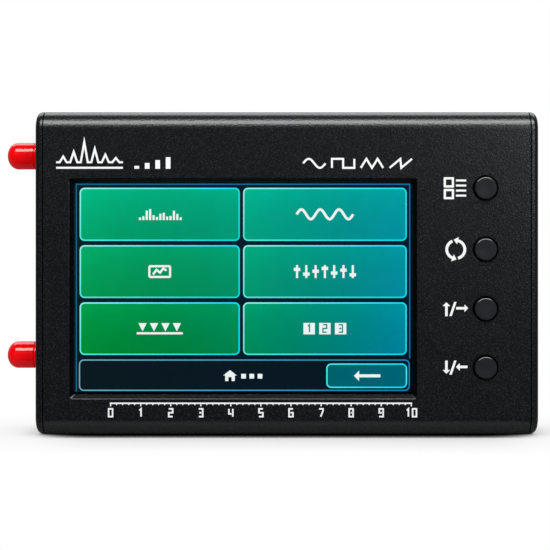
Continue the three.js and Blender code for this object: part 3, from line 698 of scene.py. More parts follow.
straight = [(EDGE, PLATE), (0, PLATE - EDGE), (0, EDGE), (EDGE, 0)]
right_holes = [(lambda spread: usb_loop(GAP + spread), straight), (slot_loop, straight),
               round_hole(light_middle, bore(LIGHT_RADIUS + GAP))]
make("right_plate", end_plate("right", right_holes, to_right), "case_metal", ["right_end_plate"])

# %% [markdown]
# ### The screws
#
# A screw is one grid from the bottom of its socket over the head and down the shaft. Its
# first loops are hexagons with as many points as the circles that follow.

# %% Screws
SCREW_HEAD = 2.8
SCREW_SHAFT = 1.45
SCREW_LENGTH = 8.0
SCREW_CONE = 1.584
SOCKET_FLAT = 1.0
SOCKET_DEPTH = 1.03
SOCKET_POINT = 0.3
BROKEN_EDGE = 0.12
FINE_EDGE = 0.08
turns = np.linspace(0, 2 * math.pi, HOLE_SIDES, endpoint=False)
hexagon = 1 / np.cos((turns + math.pi / 6) % (math.pi / 3) - math.pi / 6)


def screw(centre, lift):
    """Radius and depth below the head's face, from the socket's floor to the tip."""
    rows = [(0, -SOCKET_DEPTH - SOCKET_POINT), (SOCKET_FLAT * hexagon, -SOCKET_DEPTH),
            (SOCKET_FLAT * hexagon, -BROKEN_EDGE), ((SOCKET_FLAT + EDGE) * hexagon, 0),
            (SCREW_HEAD - BROKEN_EDGE, 0), (SCREW_HEAD, -FINE_EDGE), (SCREW_SHAFT, -SCREW_CONE),
            (SCREW_SHAFT, SCREW_SHAFT / 2 - SCREW_LENGTH), (SCREW_SHAFT / 2, -SCREW_LENGTH),
            (0, -SCREW_LENGTH)]
    return turned([(radius, PLATE - SUNK + depth) for radius, depth in rows], centre, lift,
                  HOLE_SIDES)


for side, lift in (("left", to_left), ("right", to_right)):
    for number, centre in enumerate(screws[side], 1):
        make(f"{side}_screw_{number}", [screw(centre, lift)], "screw_steel",
             [f"{side}_plate_screw_{number}"])

# %% [markdown]
# ## The coaxial jacks
#
# Each jack is a gold barrel with 36 turns of thread to the inch, on a square flange behind
# the plate. The barrel's radius is a triangle wave of the depth minus the share of a turn,
# so the crest climbs one pitch in each turn. It shows once a cap is pulled off.

# %% Jack bodies
THREAD_RADIUS = 3.175
THREAD_PITCH = 25.4 / 36
THREAD_DEPTH = 0.33
THREAD_ROWS = 128
THREAD_SIDES = 64
THREAD_FADE = 0.5
JACK_MOUTH = -box_mm("upper_jack_body")[0][0] - SHELL_END
JACK_BORE = 2.35
JACK_CHAMFER = 0.4
FLANGE_HALF = 3.8
FLANGE_DEPTH = 2.0
FLANGE_CORNER = 0.3
LEG_HALF = 0.45
LEG_LENGTH = 4.2
LEG_PLACE = np.array([1.55, 3.35])


def thread(centre):
    """Radius = crest minus the depth of a triangle wave that moves a pitch in each turn."""
    end = JACK_MOUTH - JACK_CHAMFER
    place = np.linspace(0, end, THREAD_ROWS)
    turn = np.linspace(0, 1, THREAD_SIDES, endpoint=False)
    wave = 1 - np.abs(2 * ((place[:, None] / THREAD_PITCH - turn) % 1) - 1)
    fade = np.clip(np.minimum(place, end - place) / THREAD_FADE, 0, 1)[:, None]
    radius = THREAD_RADIUS - THREAD_DEPTH * wave * fade
    return swept([circle(centre, row, THREAD_SIDES) for row in radius], place, to_left)


def jack_body(centre):
    """The thread, the mouth and the bore behind it, and a square flange on four legs."""
    mouth = [(THREAD_RADIUS, JACK_MOUTH - JACK_CHAMFER), (THREAD_RADIUS - JACK_CHAMFER, JACK_MOUTH),
             (JACK_BORE + EDGE, JACK_MOUTH), (JACK_BORE, JACK_MOUTH - EDGE),
             (JACK_BORE, -FLANGE_DEPTH)]
    flange = rounded(centre - FLANGE_HALF, centre + FLANGE_HALF, FLANGE_CORNER)
    patches = [thread(centre), turned(mouth, centre, to_left, THREAD_SIDES),
               swept([flange, flange], [0, -FLANGE_DEPTH], to_left)]
    for depth, radius in ((0, THREAD_RADIUS), (-FLANGE_DEPTH, JACK_BORE)):
        patches.append(filled([flange, circle(centre, radius, THREAD_SIDES)], depth, to_left))
    for signs in ((-1, -1), (-1, 1), (1, -1), (1, 1)):
        patches += bar(centre + LEG_PLACE * signs, LEG_HALF, EDGE, -FLANGE_DEPTH - LEG_LENGTH,
                       SUNK - FLANGE_DEPTH, to_left)
    return patches


for name, centre in jacks.items():
    make(f"{name}_jack", jack_body(centre), "gold_plate", [f"{name}_jack_body"])

# %% [markdown]
# ### Insulator, contact, washer and nut
#
# Each is one closed profile carried round the jack's axis. The nut's radius is the smaller
# of a hexagon's and a cone's, which gives the turned-down corners of a real nut.

# %% Small parts of the jacks
INSULATOR = (0.935, 2.05, -2.0, 7.9)        # inner radius, outer radius, low and high end
CONTACT_RADIUS = 0.635
CONTACT_BORE = 0.4
CONTACT_DEPTH = 3.0
CONTACT_TAIL = -4.6
WASHER = (JACK_HOLE, 4.6, PLATE, PLATE + 0.3)
NUT_FLAT = 4.0
NUT_LOW = WASHER[3]
NUT_HIGH = NUT_LOW + 1.2
NUT_CHAMFER = 0.3
NUT_CORNER = NUT_FLAT / math.cos(math.pi / 6)
CONE_STEPS = 6


def ring(inner, outer, low, high, edge, centre):
    """A ring with broken edges: its section is a rectangle with the corners cut off."""
    profile = [(inner + edge, high), (outer - edge, high), (outer, high - edge),
               (outer, low + edge), (outer - edge, low), (inner + edge, low),
               (inner, low + edge), (inner, high - edge), (inner + edge, high)]
    return turned(profile, centre, to_left)


def nut(centre):
    """A ring whose outer radius is the smaller of a hexagon's and, near its top, a cone's."""
    rows = [(JACK_HOLE, NUT_LOW), (NUT_FLAT * hexagon, NUT_LOW)]
    for share in np.linspace(0, 1, CONE_STEPS):
        limit = NUT_CORNER + (NUT_FLAT - EDGE - NUT_CORNER) * share
        rows.append((np.minimum(NUT_FLAT * hexagon, limit), NUT_HIGH - NUT_CHAMFER * (1 - share)))
    rows += [(JACK_HOLE + EDGE, NUT_HIGH), (JACK_HOLE, NUT_HIGH - EDGE), (JACK_HOLE, NUT_LOW)]
    return turned(rows, centre, to_left, HOLE_SIDES)


def contact(centre):
    """A pin with a thinner tail and a socket in its tip: radii and depths from tail to tip."""
    end = INSULATOR[3]
    profile = [(0, CONTACT_TAIL), (CONTACT_BORE, CONTACT_TAIL), (CONTACT_BORE, -FLANGE_DEPTH),
               (CONTACT_RADIUS, -FLANGE_DEPTH), (CONTACT_RADIUS, end - FINE_EDGE),
               (CONTACT_RADIUS - FINE_EDGE, end), (CONTACT_BORE + FINE_EDGE, end),
               (CONTACT_BORE, end - BROKEN_EDGE), (CONTACT_BORE, end - CONTACT_DEPTH),
               (0, end - CONTACT_DEPTH)]
    return turned(profile, centre, to_left, SMALL_SIDES)


for name, centre in jacks.items():
    for part, patch, slot in (("insulator", ring(*INSULATOR, EDGE, centre), "white_insulator"),
                              ("contact", contact(centre), "gold_plate"),
                              ("washer", ring(*WASHER, FINE_EDGE, centre), "nickel_plate"),
                              ("nut", nut(centre), "gold_plate")):
        make(f"{name}_{part}", [patch], slot, [f"{name}_jack_{part}"])

# %% [markdown]
# ### The dust caps
#
# A cap is dipped in soft vinyl: a tube with a blunt round end, a narrow lip at the mouth
# and a shallow crease above it. Its end is a quarter of an ellipse, a little shorter than
# the cap's radius. Two windows of light run along it, so it has to be smooth both ways.

# %% Dust caps
CAP_BORE = 3.275
CAP_RADIUS = 3.8
CAP_MOUTH = 3.8
CAP_LENGTH = 8.6
CAP_DOME = 3.05
CAP_DOME_WALL = 0.65
CAP_FILLETS = [0, 0.1, 0.16, 0.08, 0.06, 0.12, 0]
CREASE_PLACE = 0.55
CREASE_DEPTH = 0.22
CREASE_HALF = 0.25
DOME_STEPS = 14


def dome(radius, length, start):
    """A quarter of an ellipse from the tube's wall to the axis."""
    angle = np.linspace(0, math.pi / 2, DOME_STEPS + 1)
    return np.stack([radius * np.cos(angle), start + length * np.sin(angle)], -1)


def dust_cap(centre):
    """The dome's inside, the wall with its crease and fillets, and the dome's outside."""
    start = CAP_MOUTH + CAP_LENGTH - CAP_DOME
    crease = CAP_MOUTH + CREASE_PLACE
    wall = filleted([(CAP_BORE, start), (CAP_BORE, CAP_MOUTH), (CAP_RADIUS, CAP_MOUTH),
                     (CAP_RADIUS, crease - CREASE_HALF), (CAP_RADIUS - CREASE_DEPTH, crease),
                     (CAP_RADIUS, crease + CREASE_HALF), (CAP_RADIUS, start)], CAP_FILLETS)
    inside = dome(CAP_BORE, CAP_DOME - CAP_DOME_WALL, start)[::-1]
    outside = dome(CAP_RADIUS, CAP_DOME, start)
    return turned(np.concatenate([inside[:-1], wall[:-1], outside]), centre, to_left, FINE_SIDES)


for name, centre in jacks.items():
    make(f"{name}_cap", [dust_cap(centre)], "cap_vinyl", [f"{name}_dust_cap"],
         f"{name}_dust_cap")

# %% [markdown]
# ## The buttons
#
# Only a button's top shows, with one thin arc of light along its rim. A round rim would
# spread that light, so the rim is a narrow cone, whose slope mirrors the softbox in front.
# The top is dished a little, as thumb keys are.

# %% Button caps
BUTTON_RADIUS = 3.0
BUTTON_TOP = -box_mm("menu_button")[0][1]
BUTTON_RIM = 0.2
BUTTON_SLOPE = 0.105
BUTTON_DISH = 0.06
BUTTON_FILLETS = [0, 0, 0, 0.1, 0, 0.1, 0.1, 0.1, 0.06, 0.06, 0]
DISH_STEPS = 8
FLANGE_RADIUS = 4.6
FLANGE_TOP = inner_depth - GAP
FLANGE_FOOT = FLANGE_TOP - 0.8
SKIRT_FOOT = FLANGE_FOOT - 1.9
STEM_BORE = 1.85
BORE_END = BUTTON_TOP - 2.0


def button_cap(centre):
    """The stem's bore, the skirt, the flange, the rim's cone, and a dish: depth = half the
    dish times one minus the cosine of the way to the middle."""
    corners = [(0, BORE_END), (STEM_BORE, BORE_END), (STEM_BORE, SKIRT_FOOT),
               (BUTTON_RADIUS, SKIRT_FOOT), (BUTTON_RADIUS, FLANGE_FOOT),
               (FLANGE_RADIUS, FLANGE_FOOT), (FLANGE_RADIUS, FLANGE_TOP),
               (BUTTON_RADIUS, FLANGE_TOP), (BUTTON_RADIUS, BUTTON_TOP - BUTTON_SLOPE),
               (BUTTON_RADIUS - BUTTON_RIM, BUTTON_TOP), (0, BUTTON_TOP)]
    side = filleted(corners, BUTTON_FILLETS)[:-1]
    share = np.linspace(0, 1, DISH_STEPS + 1)[1:]
    dish = BUTTON_DISH * (1 - np.cos(math.pi * share)) / 2
    top = np.stack([side[-1][0] * (1 - share), BUTTON_TOP - dish], -1)
    return turned(np.concatenate([side, top]), centre, to_front, FINE_SIDES)


for name, centre in BUTTONS.items():
    make(f"{name}_key", [button_cap(centre)], "button_plastic", [f"{name}_button"],
         f"{name}_button")

# %% [markdown]
# ## Charging socket, power slider and charge light
#
# The socket is a drawn steel shell, whose surface goes in at the mouth and down the inside
# to a floor. The tongue and its contacts are pieces of their own. The slider's tip has
# three ribs, drawn as an outline across the slider and given width.

# %% Charging socket
USB_WALL = 0.32
TONGUE_HALF = np.array([0.35, 3.22])
TONGUE_CORNER = 0.15
TONGUE_LENGTH = 4.59
CONTACTS = 12
CONTACT_HALF = np.array([TONGUE_HALF[0] + 0.03, 0.13])
CONTACT_CORNER = 0.03
CONTACT_PITCH = 0.5
CONTACT_ENDS = (1.2, 0.5)
usb_mouth = usb_high[0] - SHELL_END
usb_rear = usb_low[0] - SHELL_END


def usb_shell():
    """The outside, the lip and the inside, with a rear wall and a floor."""
    rows = [(0, usb_rear), (0, usb_mouth - EDGE), (-EDGE, usb_mouth),
            (EDGE - USB_WALL, usb_mouth), (-USB_WALL, usb_mouth - EDGE),
            (-USB_WALL, usb_rear + USB_WALL)]
    return [profiled(usb_loop, rows, to_right)] + [filled([usb_loop(spread)], depth, to_right)
                                                   for spread, depth in (rows[0], rows[-1])]


make("charging_socket", usb_shell(), "nickel_plate", ["usb_socket"])
base, tip = usb_rear + USB_WALL - SUNK, usb_rear + TONGUE_LENGTH
make("socket_tongue", bar(usb_middle, TONGUE_HALF, TONGUE_CORNER, base, tip, to_right),
     "black_plastic")
strips = []
for index in range(CONTACTS):
    middle = usb_middle + (0, (index - (CONTACTS - 1) / 2) * CONTACT_PITCH)
    strips += bar(middle, CONTACT_HALF, CONTACT_CORNER, base + CONTACT_ENDS[0],
                  tip - CONTACT_ENDS[1], to_right)
make("socket_contacts", strips, "gold_plate")

# %% Power slider and charge light
RIBS = 3
RIB_HEIGHT = 0.28
RIB_POINTS = 8
LENS_RIM = 1.6
LENS_STEP = 1.0
LENS_FILLETS = [0, 0.05, 0.05, 0.05, 0.3, 0]
across_slider = lifted(SHELL_END * X, Z, X, Y)


def slider_outline():
    """A block whose tip is a row of half waves: depth = tip minus the rib's height times the
    size of a cosine."""
    (root, _, low), (tip, _, high) = slider_low - (SHELL_END, 0, 0), slider_high - (SHELL_END, 0, 0)
    share = np.linspace(0, 1, RIBS * RIB_POINTS + 1)
    wave = np.abs(np.cos(math.pi * RIBS * share))
    return np.concatenate([[(high, root), (low, root)],
                           np.stack([low + (high - low) * share, tip - RIB_HEIGHT * wave], -1)])


make("power_knob", prism([slider_outline()], slider_low[1], slider_high[1], across_slider),
     "black_plastic", ["power_slider"], "power_slider")
lens_foot = box_mm("charge_light")[0][0] - SHELL_END
lens = filleted([(0, lens_foot), (LENS_RIM, lens_foot), (LENS_RIM, lens_foot + LENS_STEP),
                 (LIGHT_RADIUS, lens_foot + LENS_STEP), (LIGHT_RADIUS, PLATE), (0, PLATE)],
                LENS_FILLETS)
make("charge_lens", [turned(lens, light_middle, to_right, HOLE_SIDES)], "light_lens",
     ["charge_light"])

# %% [markdown]
# ## The picture on the screen
#
# The picture is a stack of thin flat shapes behind the glass. A tile is a filled loop, an
# outline is two loops, and a sign is made of strokes. At a bend, a stroke's edge lies on
# the bisector, half the width over the cosine of half the turn away.

# %% Strokes
SINE_STEPS = 40


def stroke(line, width, closed=False):
    """The outline of a line of points with a width: one loop, or two if the line is closed."""
    line = np.asarray(line, float)
    if closed:
        ahead, back = np.roll(line, -1, 0) - line, line - np.roll(line, 1, 0)
    else:
        steps = np.diff(line, axis=0)
        ahead, back = np.vstack([steps, steps[-1:]]), np.vstack([steps[:1], steps])
    ahead = unit(ahead)
    middle = unit(ahead + unit(back))
    reach = width / 2 / np.sum(middle * ahead, axis=1, keepdims=True)
    across = np.stack([-middle[:, 1], middle[:, 0]], -1) * reach
    if closed:
        return [line - across, line + across]
    return [np.concatenate([line - across, (line + across)[::-1]])]


def outline(low, high, radius, width):
    """A rounded rectangle drawn as a line of a width, the line's outer edge at the corners."""
    low, high = np.array(low), np.array(high)
    return [rounded(low, high, radius),
            rounded(low + width, high - width, max(radius - width, EDGE))]


def arrow(tail, tip, width, head):
    """A straight arrow: a shaft, and a triangle half as long as it is wide."""
    tail, tip = np.asarray(tail, float), np.asarray(tip, float)
    along = unit(tip - tail)
    side = np.array([-along[1], along[0]]) / 2
    neck = tip - along * head / 2
    return [np.array([tail + side * width, tail - side * width, neck - side * width,
                      neck - side * head, tip, neck + side * head, neck + side * width])]


def sine(width, height, periods):
    """Height = half the full height times the sine of the turns."""
    share = np.linspace(0, 1, SINE_STEPS * periods + 1)
    return np.stack([width * share, height / 2 * np.sin(2 * math.pi * periods * share)], -1)


print("points of one sine wave:", len(sine(1, 1, 1)))

# %% Digits
DIGITS = {
    "0": [[(0, 0), (0, 4), (2, 4), (2, 0), (0, 0)]],
    "1": [[(0.4, 3.2), (1.2, 4), (1.2, 0)]],
    "2": [[(0, 4), (2, 4), (2, 2), (0, 2), (0, 0), (2, 0)]],
    "3": [[(0, 4), (2, 4), (2, 0), (0, 0)], [(0.2, 2), (1.4, 2)]],
    "4": [[(0, 4), (0, 1.4), (1.4, 1.4)], [(2, 4), (2, 0)]],
    "5": [[(2, 4), (0, 4), (0, 2), (2, 2), (2, 0), (0, 0)]],
    "6": [[(2, 4), (0, 4), (0, 0), (2, 0), (2, 2), (0.7, 2)]],
    "7": [[(0, 4), (2, 4), (2, 3), (0.8, 0)]],
    "8": [[(0, 0), (0, 4), (2, 4), (2, 0), (0, 0)], [(0.7, 2), (1.3, 2)]],
    "9": [[(0, 0), (2, 0), (2, 4), (0, 4), (0, 2), (1.3, 2)]],
}


def digit(sign, size, width):
    """A digit from strokes on a grid of two by four, its low left corner at the origin."""
    shapes = []
    for line in DIGITS[sign]:
        closed = line[0] == line[-1]
        points = np.array(line[:-1] if closed else line) * size / 4
        shapes.append(stroke(points, width, closed))
    return shapes


def at(place, shapes):
    """Shapes drawn round the origin, moved to a place."""
    return [[loop + place for loop in shape] for shape in shapes]


def raised(shapes, low, high):
    """One set of patches from flat shapes between two depths of the front."""
    return [patch for shape in shapes for patch in prism(shape, low, high, to_front)]


print("digits:", "".join(DIGITS))

# %% [markdown]
# ### Ground, tiles and outlines
#
# Screen colours are display values: each is mixed first and then raised to the power of 2.2
# to give the light. The tiles mix four corner colours. Each tile also fades across and down
# and is darker in its middle, by the fraction of the place over the tile's pitch.

# %% Screen colours
DISPLAY_POWER = 2.2
SCREEN_LOW, SCREEN_HIGH = np.array([-58.94, 12.0]), np.array([34.42, 70.04])
TILE_COLUMNS = [(-57.99, -13.15), (-12.23, 33.57)]
TILE_ROWS = [(22.24, 36.98), (38.19, 52.98), (54.18, 69.06)]
ACROSS_POWER = 1.8
SAG_ACROSS, SAG_DOWN = 0.05, 0.03


def share_of(nodes, axis, low, high):
    """How far a point lies between two places in millimetres along an axis, from 0 to 1."""
    return nodes.between(nodes.axis(axis), 0.0, 1.0, low * MM, high * MM)


def in_tile(nodes, axis, places):
    """The fraction of the place over the pitch, so it runs from 0 to 1 again in each tile."""
    moved = nodes.math("SUBTRACT", nodes.axis(axis), places[0][0] * MM)
    return nodes.math("FRACT", nodes.math("DIVIDE", moved, (places[1][0] - places[0][0]) * MM))


def sag(nodes, share, depth):
    """1 - depth * 4 u (1 - u): 1 at both ends of a tile and lowest halfway between them."""
    hump = nodes.math("MULTIPLY", share, nodes.math("SUBTRACT", 1.0, share))
    return nodes.math("SUBTRACT", 1.0, nodes.math("MULTIPLY", hump, 4 * depth))


def light_of(nodes, colour):
    """Display values raised to the power that turns them into light."""
    return nodes.put("ShaderNodeGamma", {0: colour, 1: DISPLAY_POWER}).outputs[0]


def across(first, second):
    """A mix between two display colours from the screen's left to its right."""
    def colour_of(nodes):
        along = share_of(nodes, "X", SCREEN_LOW[0], SCREEN_HIGH[0])
        return light_of(nodes, nodes.blend(along, first, second))
    return colour_of


def tile_colour(nodes):
    """Four corner colours, times a fade across and down each tile, times a sag to its middle."""
    along = share_of(nodes, "X", TILE_COLUMNS[0][0], TILE_COLUMNS[1][1])
    along = nodes.math("POWER", along, ACROSS_POWER)
    up = share_of(nodes, "Z", TILE_ROWS[0][0], TILE_ROWS[2][1])
    low = nodes.blend(along, (0, 0.587, 0.236), (0, 0.576, 0.706))
    high = nodes.blend(along, (0, 0.743, 0.543), (0, 0.671, 0.720))
    x, z = in_tile(nodes, "X", TILE_COLUMNS), in_tile(nodes, "Z", TILE_ROWS)
    whole = nodes.blend(up, low, high)
    for factor in (nodes.blend(x, (1, 1.03, 1.03), (1, 0.97, 0.97)),
                   nodes.blend(z, (1, 0.955, 0.985), (1, 1.045, 1.015)),
                   nodes.math("MULTIPLY", sag(nodes, x, SAG_ACROSS), sag(nodes, z, SAG_DOWN))):
        whole = nodes.blend(1.0, whole, factor, "MULTIPLY")
    return light_of(nodes, whole)


def tile_line_colour(nodes):
    """Pale at a tile's left and top, saturated at its right and foot."""
    x, z = in_tile(nodes, "X", TILE_COLUMNS), in_tile(nodes, "Z", TILE_ROWS)
    foot = nodes.blend(x, (0.36, 0.96, 0.92), (0.08, 0.90, 0.95))
    head = nodes.blend(x, (0.64, 1.0, 0.99), (0.12, 0.92, 0.99))
    return light_of(nodes, nodes.blend(z, foot, head))


print("pitch of the tiles in mm:", [round(places[1][0] - places[0][0], 2)
                                    for places in (TILE_COLUMNS, TILE_ROWS)])

# %% Screen finishes
screen_finishes = {
    "slab": lit("screen_dark", across((0.004, 0.016, 0.03), (0.004, 0.016, 0.03))),
    "ground": lit("screen_ground", across((0.066, 0.150, 0.180), (0.050, 0.125, 0.195))),
    "frame": lit("screen_frame_line", across((0.12, 0.43, 0.58), (0.11, 0.46, 0.70))),
    "tiles": lit("screen_tile", tile_colour, lines=0.09),
    "tile_lines": lit("screen_tile_line", tile_line_colour, lines=0.0),
    "bar": lit("screen_bar", across((0.082, 0.130, 0.158), (0.070, 0.125, 0.168))),
    "bar_line": lit("screen_bar_line", across((0.47, 0.72, 0.80), (0.10, 0.56, 0.76)), lines=0.0),
    "back": lit("screen_back", across((0, 0.395, 0.300), (0, 0.410, 0.490))),
    "signs": lit("screen_signs", across((0.98, 1.0, 1.0), (0.98, 1.0, 1.0)), lines=0.0),
}
print("screen finishes:", len(screen_finishes))

# %% [markdown]
# ### Signs of the tiles
#
# Each tile has a plain sign of what it opens: bars of a spectrum, a sine wave, a trace in a
# window, sliders, pointers on a line, and numbered memories. The bar at the foot has a house
# and page marks, and the small tile an arrow back. All are drawn round the origin.

# %% Signs
SIGN_LINE = 0.72
SIGN_HALF = 1.6
WINDOW_LINE = 0.6
WINDOW_HALF = np.array([3.2, 1.8])
SPECTRUM_REACH, SPECTRUM_BARS, SPECTRUM_BASE, BAR_HALF = 5.7, 13, -0.9, 0.3
SLIDER_REACH, SLOT_HALF, KNOB_HALF = 7.8, (0.3, 1.8), (0.9, 0.45)
MEMORY_STEP, MEMORY_DIGIT, DIGIT_PLACE = 4.4, (2.1, 0.38), (-0.55, -1.0)
POINTER_LINE = (6.45, 0.6)
SPECTRUM_PEAKS = ((2.6, -3.2, 1.1), (1.5, 0.6, 1.0), (2.0, 4.0, 0.9))
TRACE = [(-1.9, -0.8), (-0.9, 0.5), (0.1, -0.3), (1.0, 0.9), (1.9, 0.3)]
KNOBS = (0.6, -0.7, 0.1, 0.9, -0.4, 0.4, -0.9)
POINTER = np.array([(-1.15, 1.55), (0, -0.75), (1.15, 1.55)])
HOUSE = np.array([(-1.9, 0.1), (-1.35, 0.1), (-1.35, -1.45), (-0.45, -1.45), (-0.45, -0.35),
                  (0.45, -0.35), (0.45, -1.45), (1.35, -1.45), (1.35, 0.1), (1.9, 0.1), (0, 1.6)])


def spectrum_sign():
    """Bars whose heights follow three bell curves, each a height, a place and a width."""
    places = np.linspace(-SPECTRUM_REACH, SPECTRUM_REACH, SPECTRUM_BARS)
    tops = SPECTRUM_BASE + sum(height * np.exp(-((places - middle) / width) ** 2)
                               for height, middle, width in SPECTRUM_PEAKS)
    return [[rectangle((x - BAR_HALF, -SIGN_HALF), (x + BAR_HALF, top))]
            for x, top in zip(places, tops)]


def slider_sign():
    """Upright slots, each with a knob: one outline that widens at the knob's height."""
    (slot, height), (wide, half), shapes = SLOT_HALF, KNOB_HALF, []
    for x, knob in zip(np.linspace(-SLIDER_REACH, SLIDER_REACH, len(KNOBS)), KNOBS):
        right = np.array([(slot, -height), (slot, knob - half), (wide, knob - half),
                          (wide, knob + half), (slot, knob + half), (slot, height)])
        shapes += at((x, 0), [[np.concatenate([right, right[::-1] * (-1, 1)])]])
    return shapes


def memory_sign():
    """Squares with a number left out of each."""
    shapes = []
    for x, sign in zip((-MEMORY_STEP, 0, MEMORY_STEP), "123"):
        holes = sum(at(DIGIT_PLACE, digit(sign, *MEMORY_DIGIT)), [])
        shapes += at((x, 0), [[rectangle([-SIGN_HALF] * 2, [SIGN_HALF] * 2), *holes]])
    return shapes


window_sign = [outline(-WINDOW_HALF, WINDOW_HALF, WINDOW_LINE, WINDOW_LINE),
               stroke(TRACE, WINDOW_LINE)]
pointer_sign = [[rectangle((-POINTER_LINE[0], -SIGN_HALF),
                           (POINTER_LINE[0], POINTER_LINE[1] - SIGN_HALF))]]
pointer_sign += [[POINTER + (x, 0)] for x in (-4.8, -1.6, 1.6, 4.8)]
house_sign = [[HOUSE - (3.6, 0)]]
house_sign += [[rectangle((x - 0.65, -0.75), (x + 0.65, 0.55))] for x in (0.2, 2.5, 4.8)]

(left, right), rows = np.mean(TILE_COLUMNS, axis=1), np.mean(TILE_ROWS, axis=1)
signs = (at((-35.4, rows[2]), spectrum_sign())
         + at((right - 7.9, rows[2]), [stroke(sine(15.8, 2.7, 3), SIGN_LINE)])
         + at((left, rows[1]), window_sign) + at((right, rows[1]), slider_sign())
         + at((left, rows[0]), pointer_sign) + at((right, rows[0]), memory_sign())
         + at((-12.3, 16.4), house_sign) + [arrow((26.2, 16.4), (18.8, 16.4), 0.85, 2.9)])
print("shapes in the signs:", len(signs))

# %% [markdown]
# ### The stack of layers
#
# The dark slab stands for the display itself. Each layer lies on the one below it, so
# nothing flickers where shapes overlap.

# %% Screen pieces
BAR = np.array([(-58.19, 12.18), (34.44, 20.98)])
BACK_TILE = np.array([(11.05, 12.99), (33.66, 19.86)])
TILE_CORNER = 1.4
TILE_LINE = 0.38
FRAME_LINE = 0.32
FRAME_END = 21.28
SLAB_CORNER = 0.4
LAYER = 0.03
tile_corners = [((left, low), (right, high)) for left, right in TILE_COLUMNS
                for low, high in TILE_ROWS]
lcd_low, lcd_high = box_mm("lcd_panel")
slab = rounded(lcd_low[[0, 2]], lcd_high[[0, 2]], SLAB_CORNER)
slab_front = -lcd_low[1] - 5 * LAYER
around_screen = rectangle(SCREEN_LOW, SCREEN_HIGH)
frame_line = [*around_screen[[0, 3, 2]], (SCREEN_HIGH[0], FRAME_END)]
layers = {
    "ground": (0, [[rectangle(SCREEN_LOW - FRAME_LINE / 2, SCREEN_HIGH + FRAME_LINE / 2)]]),
    "frame": (1, [stroke(frame_line, FRAME_LINE)]),
    "tiles": (1, [[rounded(*corners, TILE_CORNER)] for corners in tile_corners]),
    "bar": (1, [[rounded(*BAR, TILE_CORNER)]]),
    "bar_line": (2, [outline(*BAR, TILE_CORNER, FRAME_LINE)]),
    "back": (2, [[rounded(*BACK_TILE, TILE_CORNER)]]),
    "tile_lines": (3, [outline(*corners, TILE_CORNER, TILE_LINE)
                       for corners in [*tile_corners, BACK_TILE]]),
    "signs": (3, signs),
}
make("screen_slab", raised([[slab]], -lcd_high[1], slab_front), "screen", ["lcd_panel"],
     material=screen_finishes["slab"])
for part, (level, shapes) in layers.items():
    foot = slab_front + level * LAYER
    make(f"screen_{part}", raised(shapes, foot, foot + LAYER), "screen",
         material=screen_finishes[part])

# %% [markdown]
# ## Prints on the case
#
# A print is a layer of paint that starts just inside the face, so no gap opens below it.
# Signs stand beside the buttons, a graduated scale under the screen, and above it a trace
# with its peaks, four level bars and four wave shapes.

# %% Signs beside the buttons
PRINT_LINE = 0.7
ARROW_HEAD = 2.1
RING_RADIUS = 2.5
RING_LINE = 0.78
RING_HEAD = 1.05
RING_TIP = 1.2
UPRIGHT_X = 44.25
SIDEWAYS_Z = 0.2
SLASH = np.array([(45.08, -1.95), (45.73, -1.95), (47.05, 1.95), (46.4, 1.95)])
MENU_SQUARE, MENU_LEFT, MENU_FEET = 2.85, 43.5, (-3.05, 0.2)
MENU_CORNER, MENU_SQUARE_LINE = 0.2, 0.6
MENU_LINES, MENU_LINE_HALF, MENU_HEIGHTS = (46.9, 49.74), 0.27, (-2.05, -0.65, 0.75, 2.15)
RING_ARCS, RING_STEPS = ((112, 248), (-75.5, 76.4)), 40


def menu_print():
    """Two squares, and two short lines beside each."""
    squares = [outline((MENU_LEFT, foot), (MENU_LEFT + MENU_SQUARE, foot + MENU_SQUARE),
                       MENU_CORNER, MENU_SQUARE_LINE) for foot in MENU_FEET]
    return squares + [[rectangle((MENU_LINES[0], height - MENU_LINE_HALF),
                                 (MENU_LINES[1], height + MENU_LINE_HALF))]
                      for height in MENU_HEIGHTS]


def ring_print():
    """Two arcs that each end in an arrowhead: an arc, and a triangle on its tangent."""
    shapes = []
    for start, end in RING_ARCS:
        angle = np.radians(np.linspace(start, end, RING_STEPS))
        arc = RING_RADIUS * np.stack([np.cos(angle), np.sin(angle)], -1)
        loop, half, tip, out = stroke(arc, RING_LINE)[0], len(arc), arc[-1], unit(arc[-1])
        point = [tip + out * RING_HEAD, tip + np.array([-out[1], out[0]]) * RING_TIP,
                 tip - out * RING_HEAD]
        shapes.append([np.concatenate([loop[:half], point, loop[half:]])])
    return shapes


def step_print(upright, sideways):
    """An upright arrow, a slash and a sideways arrow; each pair gives tail and tip."""
    return [arrow(*[(UPRIGHT_X, z) for z in upright], PRINT_LINE, ARROW_HEAD), [SLASH],
            arrow(*[(x, SIDEWAYS_Z) for x in sideways], PRINT_LINE, ARROW_HEAD)]


prints = []
for name, shapes in {"menu": menu_print(), "refresh": at((46.85, 0), ring_print()),
                     "up": step_print((-2.0, 1.85), (46.95, 50.3)),
                     "down": step_print((1.95, -1.7), (50.1, 46.9))}.items():
    prints += at((0, BUTTONS[name][1]), shapes)
print("shapes beside the buttons:", len(prints))

# %% Graduated scale
SCALE_LEFT, SCALE_RIGHT, SCALE_Z = -48.9, 34.5, 9.25
SCALE_STEPS, SCALE_PARTS = 10, 5
SCALE_END = 0.2
LONG_TOOTH, SHORT_TOOTH, TOOTH_HALF, SCALE_LINE = 1.05, 0.7, 0.15, 0.4
DIGIT_SIZE, DIGIT_LINE, DIGIT_STEP = 2.15, 0.42, 1.8
DIGIT_LEFT, DIGIT_DROP = 0.54, 3.9

